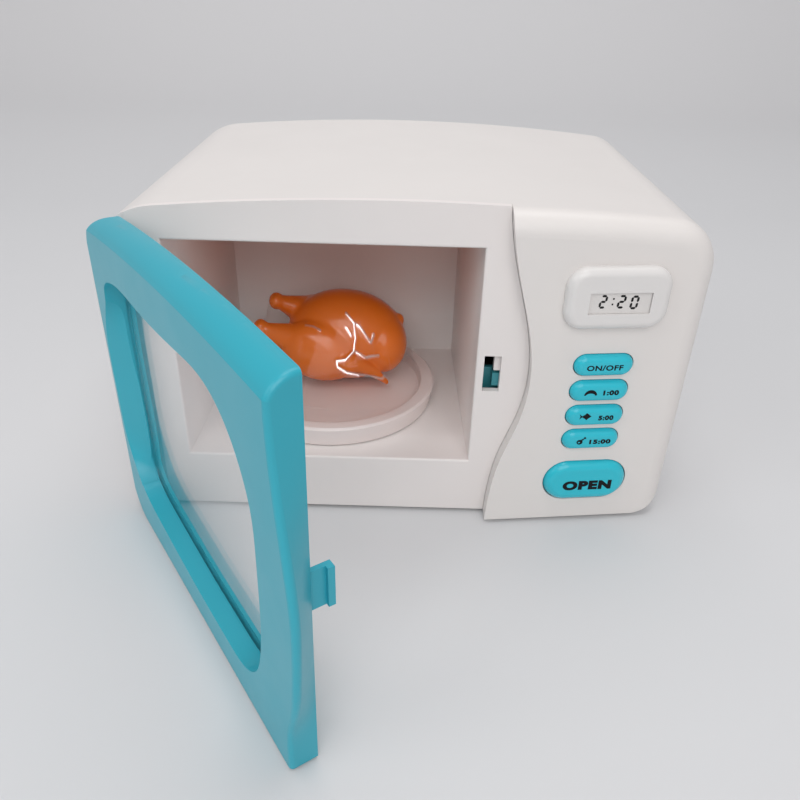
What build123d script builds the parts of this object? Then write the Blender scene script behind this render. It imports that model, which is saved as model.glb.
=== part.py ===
import os
from math import cos, hypot, radians, sin

from build123d import *

os.makedirs("parts", exist_ok=True)

# Housing, in millimetres: X to the right, Y to the back, Z up, origin under the base plate
FRONT_Y = -78.0
BACK_Y = 78.0
FRONT_LEFT_X = -119.0
FRONT_RIGHT_X = 122.5
SIDE_DRAFT = 0.02
SKIRT_Z = 2.0
ROOF_Z = 144.2
ROOF_RADIUS = 1000.0
TOP_LEFT_RADIUS = 28.0
TOP_RIGHT_RADIUS = 20.0
LOW_CORNER_RADIUS = 16.0
WALL = 2.4
BACK_EDGE_RADIUS = 5.0
FACE_EDGE_RADIUS = 9.0

# Control panel: its plan curve, and the wavy edge that parts it from the oven frame
PANEL_START = (20.0, -88.0)
PANEL_MIDDLE = (79.0, -81.5)
PANEL_END_Y = -75.9
WAVE = [
    (40.6, ROOF_Z + 5.8),
    (42.3, ROOF_Z - 13.5),
    (46.8, ROOF_Z - 31.7),
    (51.9, ROOF_Z - 50.7),
    (54.1, 74.7),
    (51.2, 53.5),
    (45.0, 34.0),
    (42.0, 16.0),
    (41.3, -35.0),
]

# Oven frame, with the cavity moulded in one piece with it
FRAME_THICK = 3.0
SEAM = 0.15
CAVITY_LEFT = -91.0
CAVITY_RIGHT = 32.2
CAVITY_FLOOR = 29.2
CAVITY_HEADROOM = 17.2
CAVITY_TOP = ROOF_Z - CAVITY_HEADROOM
CAVITY_DEPTH = 107.5
CAVITY_DRAFT = 2.6
CAVITY_WALL = 2.0
CAVITY_LIP = 1.0

# Back cover, held by screws against a ledge
LEDGE_THICK = 2.4
COVER_THICK = 2.4
COVER_INSET = 9.0
LEDGE_INSET = 14.0
COVER_GAP = 0.3
SOUND_HOLE_RADIUS = 1.1
SOUND_RING_RADIUS = 6.0
SOUND_RING_HOLES = 6

# Door, modelled shut and then swung open to the pose of the photograph
DOOR_OPEN = 55.576
DOOR_GAP = 0.5
DOOR_THICK = 9.67
DOOR_LEFT_X = -119.0
DOOR_END_X = 38.2
DOOR_END_LEAN = 2.0
DOOR_BOTTOM_Z = 1.0
DOOR_TOP_DROP = 0.4
DOOR_CORNER_RADIUS = 20.0
DOOR_LOW_CORNER_RADIUS = 15.0
DOOR_FACE_ROUND = 9.3
DOOR_FACE_CREASE = 0.7
DOOR_WALL = 2.2
DOOR_LIP_ROUND = 1.6
DOOR_RELIEF = 1.3
DOOR_RELIEF_Z = (36.0, ROOF_Z - 52.2)
DOOR_TOP_WALL = 8.0
DOOR_END_WALL = 3.9
DOOR_WAVE = [
    (41.0, ROOF_Z + 1.8),
    (40.4, ROOF_Z - 13.2),
    (42.4, ROOF_Z - 32.2),
    (46.8, ROOF_Z - 52.2),
    (50.2, 75.0),
    (48.8, 50.0),
    (44.4, 31.0),
    (39.6, 19.5),
    (38.4, 10.0),
    (38.2, -2.0),
]
FLARE_SEAT = 2.9
FLARE_BACK = [
    (-100.0, 22.0),
    (-104.6, 30.0),
    (-104.9, 40.0),
    (-104.9, 64.0),
    (-104.9, ROOF_Z - 56.2),
    (-104.6, ROOF_Z - 42.2),
    (-100.0, ROOF_Z - 30.2),
]
FLARE_FRONT = [
    (-100.0, 22.0),
    (-107.8, 29.5),
    (-113.6, 37.0),
    (-116.8, 62.0),
    (-114.8, ROOF_Z - 53.2),
    (-108.5, ROOF_Z - 42.7),
    (-100.0, ROOF_Z - 30.2),
]
WINDOW_THICK = 1.0
WINDOW_LAP = 3.0
INNER_FRAME_THICK = 1.4
INNER_FRAME_GAP = 0.15
INNER_FRAME_SHOW = 3.5
SEAT_WALL = 0.5
WINDOW_DROP = 20.4
WINDOW_TOP = ROOF_Z - WINDOW_DROP
WINDOW_OUTLINE = [
    (-105.0, 34.0),
    (-105.0, 70.0),
    (-105.0, WINDOW_TOP - 19.8),
    (-102.0, WINDOW_TOP - 10.3),
    (-94.0, WINDOW_TOP - 5.8),
    (-60.0, WINDOW_TOP - 3.2),
    (-20.0, WINDOW_TOP - 1.0),
    (3.0, WINDOW_TOP - 1.5),
    (12.5, WINDOW_TOP - 6.3),
    (20.5, WINDOW_TOP - 15.3),
    (25.3, WINDOW_TOP - 26.8),
    (26.0, 80.0),
    (25.0, 58.0),
    (22.4, 40.0),
    (16.0, 24.5),
    (6.0, 16.4),
    (-10.0, 14.4),
    (-40.0, 14.8),
    (-75.0, 17.5),
    (-92.0, 19.8),
    (-101.5, 24.5),
]

# Hinge: lugs on the oven frame, a trough behind them, and pins held in the door
HINGE_X = -110.02
HINGE_INSET = 5.45
HINGE_SWEEP = 8.8
HINGE_SWEEP_GAP = 0.5
TROUGH_WALL = 1.5
PIN_RADIUS = 1.5
PIN_RUN_GAP = 0.05
KNUCKLE_RADIUS = 2.8
LUG_WIDTH = 4.6
LUG_HEIGHT = 8.0
LUG_Z = (24.0, ROOF_Z - 36.2)
NOTCH_GAP = 0.3
NOTCH_DEPTH = 8.25
PIN_BITE = 5.0

# Latch: a hook on the door, its slot in the frame, and a rocking lever behind
SLOT_X = (35.5, 42.5)
SLOT_Z = (65.0, 81.5)
HOOK_X = (35.9, 37.6)
HOOK_Z = (65.3, 79.6)
HOOK_REACH = 7.6
BARB_REACH = 2.2
BARB_STEP = 1.4
SLOT_RIB_X = 40.0
SLOT_RIB_Z = (73.5, 85.0)
SLOT_RIB_DEPTH = 3.5
LEVER_X = 40.5
LEVER_Z = 44.0
LEVER_FRONT_Y = -69.5
LEVER_THICK = 2.0
LEVER_HUB = 5.0
LEVER_BORE = 2.5
TOOTH_X = (39.7, 43.0)
TOOTH_Z = (66.0, 72.0)
TOOTH_FRONT_Y = -74.7
BOSS_SHOULDER = 4.0
CLIP_THICK = 0.8

# Buttons
BUTTON_X = 83.3
BUTTON_WIDTH = 24.5
BUTTON_HEIGHT = 9.6
BUTTON_TOP_Z = 80.8
BUTTON_PITCH = 11.95
BUTTON_NAMES = ["button_on_off", "button_1_minute", "button_5_minutes", "button_15_minutes"]
BUTTON_PROUD = 2.6
BUTTON_ROUND = 3.0
BUTTON_GAP = 0.3
BUTTON_FLANGE = 1.2
BUTTON_LAP = 0.9
BUTTON_TRAVEL = 1.2
STEM_RADIUS = 1.5
OPEN_X = 84.2
OPEN_Z = 22.8
OPEN_WIDTH = 36.8
OPEN_HEIGHT = 20.4
OPEN_ROUND = 4.0
OPEN_TRAVEL = 3.0
WEDGE_X = (75.0, 78.0)
WEDGE_TIP_Y = -69.9
WEDGE_Z = (25.6, 31.0)
WEDGE_RUN = 3.0
WEDGE_DROP = 3.0
LEVER_ARM = 3.4
LEVER_FOOT = 5.0
LEVER_FOOT_GAP = 0.3
PRESS_GAP = 0.1

# Display
BEZEL_X = 83.6
BEZEL_Z = 110.5
BEZEL_WIDTH = 41.2
BEZEL_HEIGHT = 25.4
BEZEL_CORNER = 8.0
BEZEL_PROUD = 4.4
BEZEL_ROUND = 3.4
GLASS_X = 84.4
GLASS_Z = 109.2
GLASS_WIDTH = 24.4
GLASS_HEIGHT = 8.9
GLASS_RECESS = 1.1
GLASS_FIT = 0.1
GLASS_CORNER = 0.4
DISPLAY_BACK_LAP = 3.0
DISPLAY_BACK_THICK = 2.5

# Circuit board, its bosses, screws and switches
BOARD_X = (64.0, 108.0)
BOARD_Z = (39.0, ROOF_Z - 18.2)
BOARD_FRONT_Y = -68.0
BOARD_THICK = 1.6
BOARD_BOSS_RADIUS = 2.6
CHIP_PLACES = [(77.0, 58.0), (92.0, 76.0), (78.0, 104.0)]
CHIP_HALF = 5.0
CHIP_DEPTH = 1.8
BOARD_SCREW_X = (67.5, 104.5)
BOARD_SCREW_Z = (43.0, 88.0)
SWITCH_SIDE = 6.0
SWITCH_DEPTH = 3.6
PLUNGER_RADIUS = 1.7
PLUNGER_DEPTH = 1.4
SCREW_SHANK = 1.15
SCREW_HEAD = 2.2
SCREW_HEAD_DEPTH = 1.0

# Turntable and the gearbox under the cavity
SPINDLE_X = -32.0
SPINDLE_Y = -21.5
PLATE_RADIUS = 50.0
PLATE_FOOT_Z = 29.8
PLATE_RIM_Z = 39.2
PLATE_FLOOR_Z = 35.4
PLATE_RIM_WIDTH = 6.4
SPINDLE_RADIUS = 5.0
HEX_RADIUS = 4.8
HEX_FIT = 0.1
HEX_TOP_Z = 33.0
JOURNAL_RADIUS = 2.5
RUN_GAP = 0.05
GEAR_MODULE = 1.0
SPINDLE_TEETH = 36
IDLER_SMALL_TEETH = 12
IDLER_BIG_TEETH = 30
PINION_TEETH = 10
LOW_GEAR_Z = (12.5, 17.5)
HIGH_GEAR_Z = (19.5, 22.5)
GEARBOX_FLOOR_Z = 6.0
GEARBOX_ROOF_Z = (24.4, 26.0)
GEARBOX_MARGIN = 21.0
GEARBOX_SCREW_LENGTH = 8.0
BEARING_RADIUS = 5.0
BEARING_GAP = 0.3
MOTOR_CUP_Z = 11.0
MOTOR_NOSE_RADIUS = 3.0
TOOTH_ADDENDUM = 0.9
TOOTH_DEDENDUM = 1.2
TIP_SHARE = 0.11
ROOT_SHARE = 0.29
SPINDLE_RISE = 0.3
HUB_RADIUS = 8.0
PLATE_WALL = 2.0
PLATE_RIM_ROUND = 0.9
GEARBOX_BOSS = 3.2
IDLER_PIN_RADIUS = 1.5
MOTOR_RADIUS = 12.0
MOTOR_FIT = 0.1
MOTOR_TOP_Z = 17.0
MOTOR_SHAFT_RADIUS = 1.0

# Base plate, battery tray and its door
HATCH_X = (-90.0, 92.0)
HATCH_Y = 60.0
BASE_FLANGE = 8.0
BASE_THICK = 2.0
BASE_RAISE = 2.4
BASE_SCREW_X = (-94.5, 96.5)
BASE_SCREW_Y = 40.0
BASE_BOSS_RADIUS = 3.2
BASE_BOSS_HEIGHT = 6.0
TRAY_X = (40.0, 89.0)
TRAY_Y = (-13.0, 45.0)
TRAY_WALL = 1.6
TRAY_ROOF_Z = 21.6
HATCH_LEDGE = 1.6
BATTERY_RADIUS = 7.25
BATTERY_LENGTH = 49.5
BATTERY_NUB = 1.0
BATTERY_PITCH = 15.8
BATTERY_COUNT = 3
CONTACT_THICK = 0.5
CONTACT_BULGE = 1.6
CONTACT_HALF = 5.6
CONTACT_GAP = 0.1
BATTERY_NUB_RADIUS = 2.75
BATTERY_SEAT_GAP = 0.3
BATTERY_DOOR_TAB = 8.0

# Speaker and lamp
SPEAKER_X = 78.0
SPEAKER_Z = 92.0
SPEAKER_RADIUS = 14.0
SPEAKER_RIM = 3.0
MAGNET_RADIUS = 8.0
SPEAKER_DEPTH = 9.0
SPEAKER_EDGE = 2.0
SPEAKER_DISH = 1.5
LAMP_X = -29.0
LAMP_Y = -40.0
LAMP_RADIUS = 2.5
LAMP_DROP = 2.0
LAMP_RISE = 3.0
LAMP_COLLAR = 0.8

# Food and its clear cover, as rings of height, left, right, middle depth and half depth
FOOD_RINGS = [
    (35.4, -50.0, -10.0, -20.0, 13.0),
    (44.0, -58.0, -1.5, -19.5, 19.0),
    (57.0, -60.0, 1.0, -19.0, 22.5),
    (69.0, -57.0, -2.0, -19.0, 19.5),
    (78.0, -48.0, -12.0, -19.0, 12.5),
    (82.0, -38.0, -24.0, -19.0, 5.0),
]
FOOD_LIMBS = [
    ((-48.0, -22.0, 64.0), (-59.0, -22.0, 74.0), 6.0, 3.0),
    ((-48.0, -27.0, 60.0), (-63.5, -25.0, 66.5), 6.5, 3.0),
    ((-28.0, -38.0, 52.0), (-8.0, -29.0, 41.0), 5.0, 4.0),
    ((-6.0, -20.0, 64.0), (0.0, -20.0, 66.0), 4.0, 2.4),
]
FILM_THICK = 0.5
FILM_EDGE_RADIUS = 46.0
FILM_RINGS = [
    (39.2, -74.0, 10.0, -21.5, 42.0),
    (53.0, -72.5, 9.6, -21.0, 36.0),
    (67.0, -69.0, 6.0, -20.5, 28.0),
    (78.0, -65.0, -4.0, -20.0, 19.0),
    (85.0, -57.0, -17.0, -20.0, 11.0),
    (88.0, -46.0, -28.0, -20.0, 5.0),
]

PANEL_END = (FRONT_RIGHT_X + 5.0, PANEL_END_Y)
FRONT_LIMIT = FRONT_Y - 17.0
PLATE_BACK_Y = FRONT_Y + FRAME_THICK
DOOR_BACK_Y = FRONT_Y - DOOR_GAP
HINGE_Y = DOOR_BACK_Y - HINGE_INSET
NOTCH_END_X = HINGE_X + KNUCKLE_RADIUS + NOTCH_GAP
BELOW = -30.0
ABOVE = ROOF_Z + 16.0
HEIGHT_SPAN = ABOVE - BELOW
PANEL_BAND_DEPTH = 40.0
BEYOND = 200.0


def front_plane(y):
    """Plane that faces the front, with X to the right and Z up, at depth y"""
    return Plane.XZ.offset(-y)


def roof_z(x):
    """Height of the crowned roof above the middle line of its arc"""
    return ROOF_Z - x * x / (2 * ROOF_RADIUS)


def side_x(y):
    """Left and right sides of the housing at depth y, which draw in towards the back"""
    draft = SIDE_DRAFT * (y - FRONT_Y)
    return FRONT_LEFT_X + draft, FRONT_RIGHT_X - draft


def corner(section, side, place):
    """Lowest (0) or highest (-1) corner of a section, on its left (-1) or its right (1)"""
    return section.vertices().filter_by(lambda v: v.X * side > 0).sort_by(Axis.Y)[place]


def body_section(y, inset, low):
    """Front view of the housing at depth y, with square lower corners"""
    left, right = side_x(y)
    left = left + inset
    right = right - inset
    left_top = roof_z(left) - inset
    right_top = roof_z(right) - inset
    with BuildSketch(front_plane(y)) as section:
        with BuildLine():
            ThreePointArc((left, left_top), (0, ROOF_Z - inset), (right, right_top))
            Polyline((right, right_top), (right, low), (left, low), (left, left_top))
        make_face()
        fillet(corner(section, -1, -1), TOP_LEFT_RADIUS - inset)
        fillet(corner(section, 1, -1), TOP_RIGHT_RADIUS - inset)
    return section.sketch


def low_corner_section(y, inset, side):
    """What the rounded lower corner leaves out, on the left (-1) or the right (1)"""
    radius = LOW_CORNER_RADIUS - inset
    overshoot = 0.25
    reach = 40.0
    wall_x = side_x(y)[1 if side > 0 else 0] - side * inset
    centre_x = wall_x + side * (overshoot - radius)
    centre_z = SKIRT_Z + inset - overshoot + radius
    near = (centre_x + side * radius, centre_z)
    under = (centre_x, centre_z - radius)
    slant = radius * cos(radians(45))
    middle = (centre_x + side * slant, centre_z - slant)
    with BuildSketch(front_plane(y)) as section:
        with BuildLine():
            ThreePointArc(near, middle, under)
            Polyline(
                under,
                (centre_x, centre_z - radius - reach),
                (centre_x + side * (radius + reach), centre_z - radius - reach),
                (centre_x + side * (radius + reach), centre_z),
                near,
            )
        make_face()
    return section.sketch


def low_cut(inset):
    """Everything under the housing's bottom and outside its lower corners"""
    with BuildPart() as cut:
        for side in (-1, 1):
            near = low_corner_section(FRONT_LIMIT - 5, inset, side)
            far = low_corner_section(BACK_Y + 5, inset, side)
            loft([near, far])
        with BuildSketch(Plane.XY.offset(SKIRT_Z + inset)):
            Rectangle(2 * BEYOND, 2 * BEYOND)
        extrude(amount=-BEYOND)
    return cut.part


def panel_front(shift, shelf_y):
    """Plan of the space in front of the panel's curve, and in front of the shelf to its left"""
    far_y = FRONT_LIMIT - 20
    start = (PANEL_START[0], PANEL_START[1] + shift)
    middle = (PANEL_MIDDLE[0], PANEL_MIDDLE[1] + shift)
    end = (PANEL_END[0], PANEL_END[1] + shift)
    with BuildSketch(Plane.XY.offset(BELOW - 10)) as plan:
        with BuildLine():
            ThreePointArc(start, middle, end)
            Polyline(end, (end[0] + 20, end[1]), (end[0] + 20, far_y), (-BEYOND, far_y), (-BEYOND, shelf_y),
                     (start[0], shelf_y), start)
        make_face()
    return plan.sketch


def panel_band(front, back):
    """Layer that follows the panel's curve, from front to back behind its surface"""
    with BuildSketch(Plane.XY.offset(BELOW)) as plan:
        with BuildLine():
            near = ThreePointArc(
                (PANEL_START[0], PANEL_START[1] + front),
                (PANEL_MIDDLE[0], PANEL_MIDDLE[1] + front),
                (PANEL_END[0], PANEL_END[1] + front),
            )
            far = ThreePointArc(
                (PANEL_START[0], PANEL_START[1] + back),
                (PANEL_MIDDLE[0], PANEL_MIDDLE[1] + back),
                (PANEL_END[0], PANEL_END[1] + back),
            )
            Line(near @ 0, far @ 0)
            Line(near @ 1, far @ 1)
        make_face()
    with BuildPart() as band:
        extrude(plan.sketch, amount=HEIGHT_SPAN)
    return band.part


def full_body(inset, back_y, front_round, back_round, shelf_y):
    """The housing's whole form, drawn inset, with rounded panel and back edges"""
    with BuildPart() as body:
        loft([body_section(FRONT_LIMIT, inset, BELOW), body_section(back_y, inset, BELOW)])
        extrude(panel_front(inset, shelf_y), amount=HEIGHT_SPAN + 20, mode=Mode.SUBTRACT)
        front = body.faces().filter_by(lambda f: f.center().X > PANEL_START[0] + 10).sort_by(Axis.Y)[0]
        rounded = front.edges().filter_by(
            lambda e: e.center().Z > BELOW + 1 and e.center().X > PANEL_START[0] + 1
        )
        fillet(rounded, front_round)
        back = body.faces().sort_by(Axis.Y)[-1]
        fillet(back.edges().filter_by(lambda e: e.center().Z > BELOW + 1), back_round)
        add(low_cut(inset), mode=Mode.SUBTRACT)
    return body.part


def wave_region(shift, front_y, back_y):
    """Block to the left of the wavy edge, moved right by shift"""
    with BuildSketch(front_plane(back_y)) as region:
        with BuildLine():
            edge = Spline([(x + shift, z) for x, z in WAVE])
            Polyline(edge @ 1, (-BEYOND, WAVE[-1][1]), (-BEYOND, WAVE[0][1]), edge @ 0)
        make_face()
    with BuildPart() as block:
        extrude(region.sketch, amount=back_y - front_y, dir=(0, -1, 0))
    return block.part


def front_hole(sketch, front_y, back_y):
    """Block from a front view sketch, from front_y to back_y"""
    with BuildPart() as block:
        extrude(sketch, amount=back_y - front_y, dir=(0, 1, 0))
    return block.part


def obround(x, z, width, height, y):
    """Front view of a button with round ends"""
    with BuildSketch(front_plane(y)) as sketch:
        with Locations((x, z)):
            SlotOverall(width, height)
    return sketch.sketch


def rounded_box(x, z, width, height, radius, y):
    """Front view of a rectangle with rounded corners"""
    with BuildSketch(front_plane(y)) as sketch:
        with Locations((x, z)):
            RectangleRounded(width, height, radius)
    return sketch.sketch


def span_box(x_span, y_span, z_span):
    """Plain block between two corners"""
    with BuildPart() as block:
        with BuildSketch(Plane.XY.offset(z_span[0])):
            with Locations(((x_span[0] + x_span[1]) / 2, (y_span[0] + y_span[1]) / 2)):
                Rectangle(x_span[1] - x_span[0], y_span[1] - y_span[0])
        extrude(amount=z_span[1] - z_span[0])
    return block.part


def front_post(x, z, radius, y_span):
    """Round post along Y"""
    with BuildPart() as post:
        with BuildSketch(front_plane(y_span[0])):
            with Locations((x, z)):
                Circle(radius)
        extrude(amount=y_span[1] - y_span[0], dir=(0, 1, 0))
    return post.part


def upright_post(x, y, radius, z_span):
    """Round post along Z"""
    with BuildPart() as post:
        with BuildSketch(Plane.XY.offset(z_span[0])):
            with Locations((x, y)):
                Circle(radius)
        extrude(amount=z_span[1] - z_span[0])
    return post.part


def save(part, name):
    """Label a finished piece and write it under its own name"""
    part.label = name
    export_step(part, f"parts/{name}.step")


def swing(part):
    """Turn a piece of the shut door to its open pose about the hinge"""
    with BuildPart() as swung:
        add(part.rotate(Axis((HINGE_X, HINGE_Y, 0), (0, 0, 1)), -DOOR_OPEN))
    return swung.part


def screws(planes, head_radius, head_depth, shank_radius, length):
    """Screws with flat cone heads, flush with each plane and pointing away from its normal"""
    with BuildPart() as group:
        for plane in planes:
            with BuildSketch(plane):
                Circle(head_radius)
            with BuildSketch(plane.offset(-head_depth)):
                Circle(shank_radius)
            loft()
            with BuildSketch(plane.offset(-head_depth)):
                Circle(shank_radius)
            extrude(amount=-(length - head_depth))
    return group.part


def facing(x, z, y, direction):
    """Plane at a point of a wall, facing the front (-1) or the back (1)"""
    return Plane(origin=(x, y, z), x_dir=(1, 0, 0), z_dir=(0, direction, 0))


def upward(x, y, z, direction):
    """Plane at a point of a floor or roof, facing up (1) or down (-1)"""
    return Plane(origin=(x, y, z), x_dir=(1, 0, 0), z_dir=(0, 0, direction))


def board_boss(x, z):
    """Post from inside the panel to the circuit board"""
    with BuildPart() as boss:
        add(front_post(x, z, BOARD_BOSS_RADIUS, (FRONT_LIMIT, BOARD_FRONT_Y)))
        add(panel_band(WALL / 2, PANEL_BAND_DEPTH), mode=Mode.INTERSECT)
    return boss.part


# Screw places
cover_left_x = side_x(BACK_Y)[0] + (COVER_INSET + LEDGE_INSET) / 2
cover_right_x = side_x(BACK_Y)[1] - (COVER_INSET + LEDGE_INSET) / 2
COVER_SCREW_Z = (40.0, 100.0)
cover_planes = [facing(x, z, BACK_Y, 1) for x in (cover_left_x, cover_right_x) for z in COVER_SCREW_Z]
base_planes = [
    upward(x, y, 0, -1) for x in BASE_SCREW_X for y in (-BASE_SCREW_Y, BASE_SCREW_Y)
]
board_back_y = BOARD_FRONT_Y + BOARD_THICK
board_planes = [facing(x, z, board_back_y, 1) for x in BOARD_SCREW_X for z in BOARD_SCREW_Z]
CASE_SCREW_HEAD = 2.6
CASE_SCREW_HEAD_DEPTH = 1.2
cover_screw_length = COVER_THICK + LEDGE_THICK
base_screw_length = BASE_THICK + BASE_BOSS_HEIGHT
BOARD_SCREW_LENGTH = 6.0

# Button places, with the row of small ones from the top down
small_buttons = [(BUTTON_X, BUTTON_TOP_Z - row * BUTTON_PITCH) for row in range(len(BUTTON_NAMES))]

# Housing
ledge_y = BACK_Y - COVER_THICK - LEDGE_THICK
cover_y = BACK_Y - COVER_THICK
outer_body = full_body(0, BACK_Y, FACE_EDGE_RADIUS, BACK_EDGE_RADIUS, PLATE_BACK_Y)
inner_body = full_body(WALL, ledge_y, FACE_EDGE_RADIUS - WALL, BACK_EDGE_RADIUS - WALL, PLATE_BACK_Y - 1)
wave_wall_y = PLATE_BACK_Y + FRAME_THICK

with BuildPart() as wave_wall:
    add(wave_region(WALL, FRONT_LIMIT, wave_wall_y))
    add(wave_region(0, FRONT_LIMIT, wave_wall_y), mode=Mode.SUBTRACT)

with BuildPart() as inner_space:
    add(inner_body)
    add(wave_wall.part, mode=Mode.SUBTRACT)

with BuildPart() as housing:
    add(outer_body)
    add(wave_region(0, FRONT_LIMIT, PLATE_BACK_Y), mode=Mode.SUBTRACT)
    add(inner_space.part, mode=Mode.SUBTRACT)
    # Back opening with its ledge
    extrude(body_section(BACK_Y + 1, COVER_INSET, SKIRT_Z + COVER_INSET),
            amount=COVER_THICK + 1, dir=(0, -1, 0), mode=Mode.SUBTRACT)
    extrude(body_section(BACK_Y + 1, LEDGE_INSET, SKIRT_Z + LEDGE_INSET),
            amount=COVER_THICK + LEDGE_THICK + 2, dir=(0, -1, 0), mode=Mode.SUBTRACT)
    # Hatch in the bottom, and bosses for the base screws
    add(span_box(HATCH_X, (-HATCH_Y, HATCH_Y), (0, SKIRT_Z + WALL + 1)), mode=Mode.SUBTRACT)
    for x in BASE_SCREW_X:
        for y in (-BASE_SCREW_Y, BASE_SCREW_Y):
            add(upright_post(x, y, BASE_BOSS_RADIUS, (SKIRT_Z, SKIRT_Z + BASE_BOSS_HEIGHT)))
    # Holes for the buttons and the display
    for x, z in small_buttons:
        hole = obround(x, z, BUTTON_WIDTH + 2 * BUTTON_GAP, BUTTON_HEIGHT + 2 * BUTTON_GAP, FRONT_LIMIT)
        add(front_hole(hole, FRONT_LIMIT, BOARD_FRONT_Y), mode=Mode.SUBTRACT)
    open_hole_size = (OPEN_WIDTH + 2 * BUTTON_GAP, OPEN_HEIGHT + 2 * BUTTON_GAP)
    open_hole = obround(OPEN_X, OPEN_Z, *open_hole_size, FRONT_LIMIT)
    add(front_hole(open_hole, FRONT_LIMIT, BOARD_FRONT_Y), mode=Mode.SUBTRACT)
    glass_hole = rounded_box(GLASS_X, GLASS_Z, GLASS_WIDTH, GLASS_HEIGHT, GLASS_CORNER, FRONT_LIMIT)
    add(front_hole(glass_hole, FRONT_LIMIT, BOARD_FRONT_Y), mode=Mode.SUBTRACT)
    # Bosses that carry the circuit board
    for x in BOARD_SCREW_X:
        for z in BOARD_SCREW_Z:
            add(board_boss(x, z))
    add(screws(board_planes, SCREW_HEAD, SCREW_HEAD_DEPTH, SCREW_SHANK, BOARD_SCREW_LENGTH),
        mode=Mode.SUBTRACT)
    add(screws(cover_planes, CASE_SCREW_HEAD, CASE_SCREW_HEAD_DEPTH, SCREW_SHANK, cover_screw_length),
        mode=Mode.SUBTRACT)
    add(screws(base_planes, CASE_SCREW_HEAD, CASE_SCREW_HEAD_DEPTH, SCREW_SHANK, base_screw_length),
        mode=Mode.SUBTRACT)
save(housing.part, "housing")


# Oven frame: face plate, tapered cavity, hinge lugs and latch slot in one moulding
def cavity_section(y, grow_by):
    """Front view of the cavity at depth y, grown outwards for the outer skin"""
    taper = CAVITY_DRAFT * (y - FRONT_Y) / CAVITY_DEPTH
    left = CAVITY_LEFT + taper - grow_by
    right = CAVITY_RIGHT - taper + grow_by
    low = CAVITY_FLOOR - grow_by
    high = CAVITY_TOP - taper / 2 + grow_by
    with BuildSketch(front_plane(y)) as section:
        with BuildLine():
            Polyline((left, low), (right, low), (right, high), (left, high), close=True)
        make_face()
    return section.sketch


def hinge_cylinder(radius):
    """Upright cylinder about the hinge line, over the full height"""
    return upright_post(HINGE_X, HINGE_Y, radius, (BELOW, ABOVE))


trough_radius = HINGE_SWEEP + HINGE_SWEEP_GAP
cavity_back_y = FRONT_Y + CAVITY_DEPTH

with BuildPart() as plate_form:
    loft([body_section(FRONT_Y, 0, BELOW), body_section(PLATE_BACK_Y, 0, BELOW)])
    add(low_cut(0), mode=Mode.SUBTRACT)
    add(wave_region(-SEAM, FRONT_Y - 1, PLATE_BACK_Y + 1), mode=Mode.INTERSECT)

with BuildPart() as trough_wall:
    trough_depth = trough_radius + TROUGH_WALL
    trough_far_y = FRONT_Y + trough_depth
    loft([body_section(FRONT_Y, WALL + SEAM, BELOW), body_section(trough_far_y, WALL + SEAM, BELOW)])
    add(low_cut(WALL + SEAM), mode=Mode.SUBTRACT)
    add(hinge_cylinder(trough_depth), mode=Mode.INTERSECT)

with BuildPart() as oven_frame:
    add(plate_form.part)
    add(trough_wall.part)
    loft([cavity_section(FRONT_Y + 1, CAVITY_WALL), cavity_section(cavity_back_y + CAVITY_WALL, CAVITY_WALL)])
    add(hinge_cylinder(trough_radius), mode=Mode.SUBTRACT)
    loft([cavity_section(FRONT_Y - 1, 0), cavity_section(cavity_back_y, 0)], mode=Mode.SUBTRACT)
    mouth = oven_frame.faces().filter_by(lambda f: abs(f.center().Y - FRONT_Y) < 0.01)
    mouth_edges = mouth.edges().filter_by(
        lambda e: CAVITY_LEFT - 1 < e.center().X < CAVITY_RIGHT + 1
        and CAVITY_FLOOR - 1 < e.center().Z < CAVITY_TOP + 1
    )
    fillet(mouth_edges, CAVITY_LIP)
    # Spindle bearing and lamp hole
    add(upright_post(SPINDLE_X, SPINDLE_Y, SPINDLE_RADIUS + RUN_GAP, (CAVITY_FLOOR - 5, CAVITY_FLOOR + 1)),
        mode=Mode.SUBTRACT)
    add(upright_post(LAMP_X, LAMP_Y, LAMP_RADIUS, (CAVITY_TOP - 5, CAVITY_TOP + 5)), mode=Mode.SUBTRACT)
    # Latch slot with its guide rib, and the boss that the lever rocks on
    add(span_box(SLOT_X, (FRONT_Y - 1, PLATE_BACK_Y + 1), SLOT_Z), mode=Mode.SUBTRACT)
    add(span_box((SLOT_RIB_X, SLOT_X[1] + 2), (PLATE_BACK_Y, PLATE_BACK_Y + SLOT_RIB_DEPTH), SLOT_RIB_Z))
    add(front_post(LEVER_X, LEVER_Z, BOSS_SHOULDER, (PLATE_BACK_Y, LEVER_FRONT_Y - RUN_GAP)))
    add(front_post(LEVER_X, LEVER_Z, LEVER_BORE - RUN_GAP,
                   (PLATE_BACK_Y, LEVER_FRONT_Y + LEVER_THICK + RUN_GAP + CLIP_THICK)))
    # Hinge lugs, each an arm with a knuckle about the pin
    for z in LUG_Z:
        span = (z - LUG_HEIGHT / 2, z + LUG_HEIGHT / 2)
        add(span_box((HINGE_X - LUG_WIDTH / 2, HINGE_X + LUG_WIDTH / 2),
                     (HINGE_Y, HINGE_Y + trough_radius + TROUGH_WALL / 2), span))
        add(upright_post(HINGE_X, HINGE_Y, KNUCKLE_RADIUS, span))
        add(upright_post(HINGE_X, HINGE_Y, PIN_RADIUS + PIN_RUN_GAP, span), mode=Mode.SUBTRACT)
save(oven_frame.part, "oven_frame")

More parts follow.
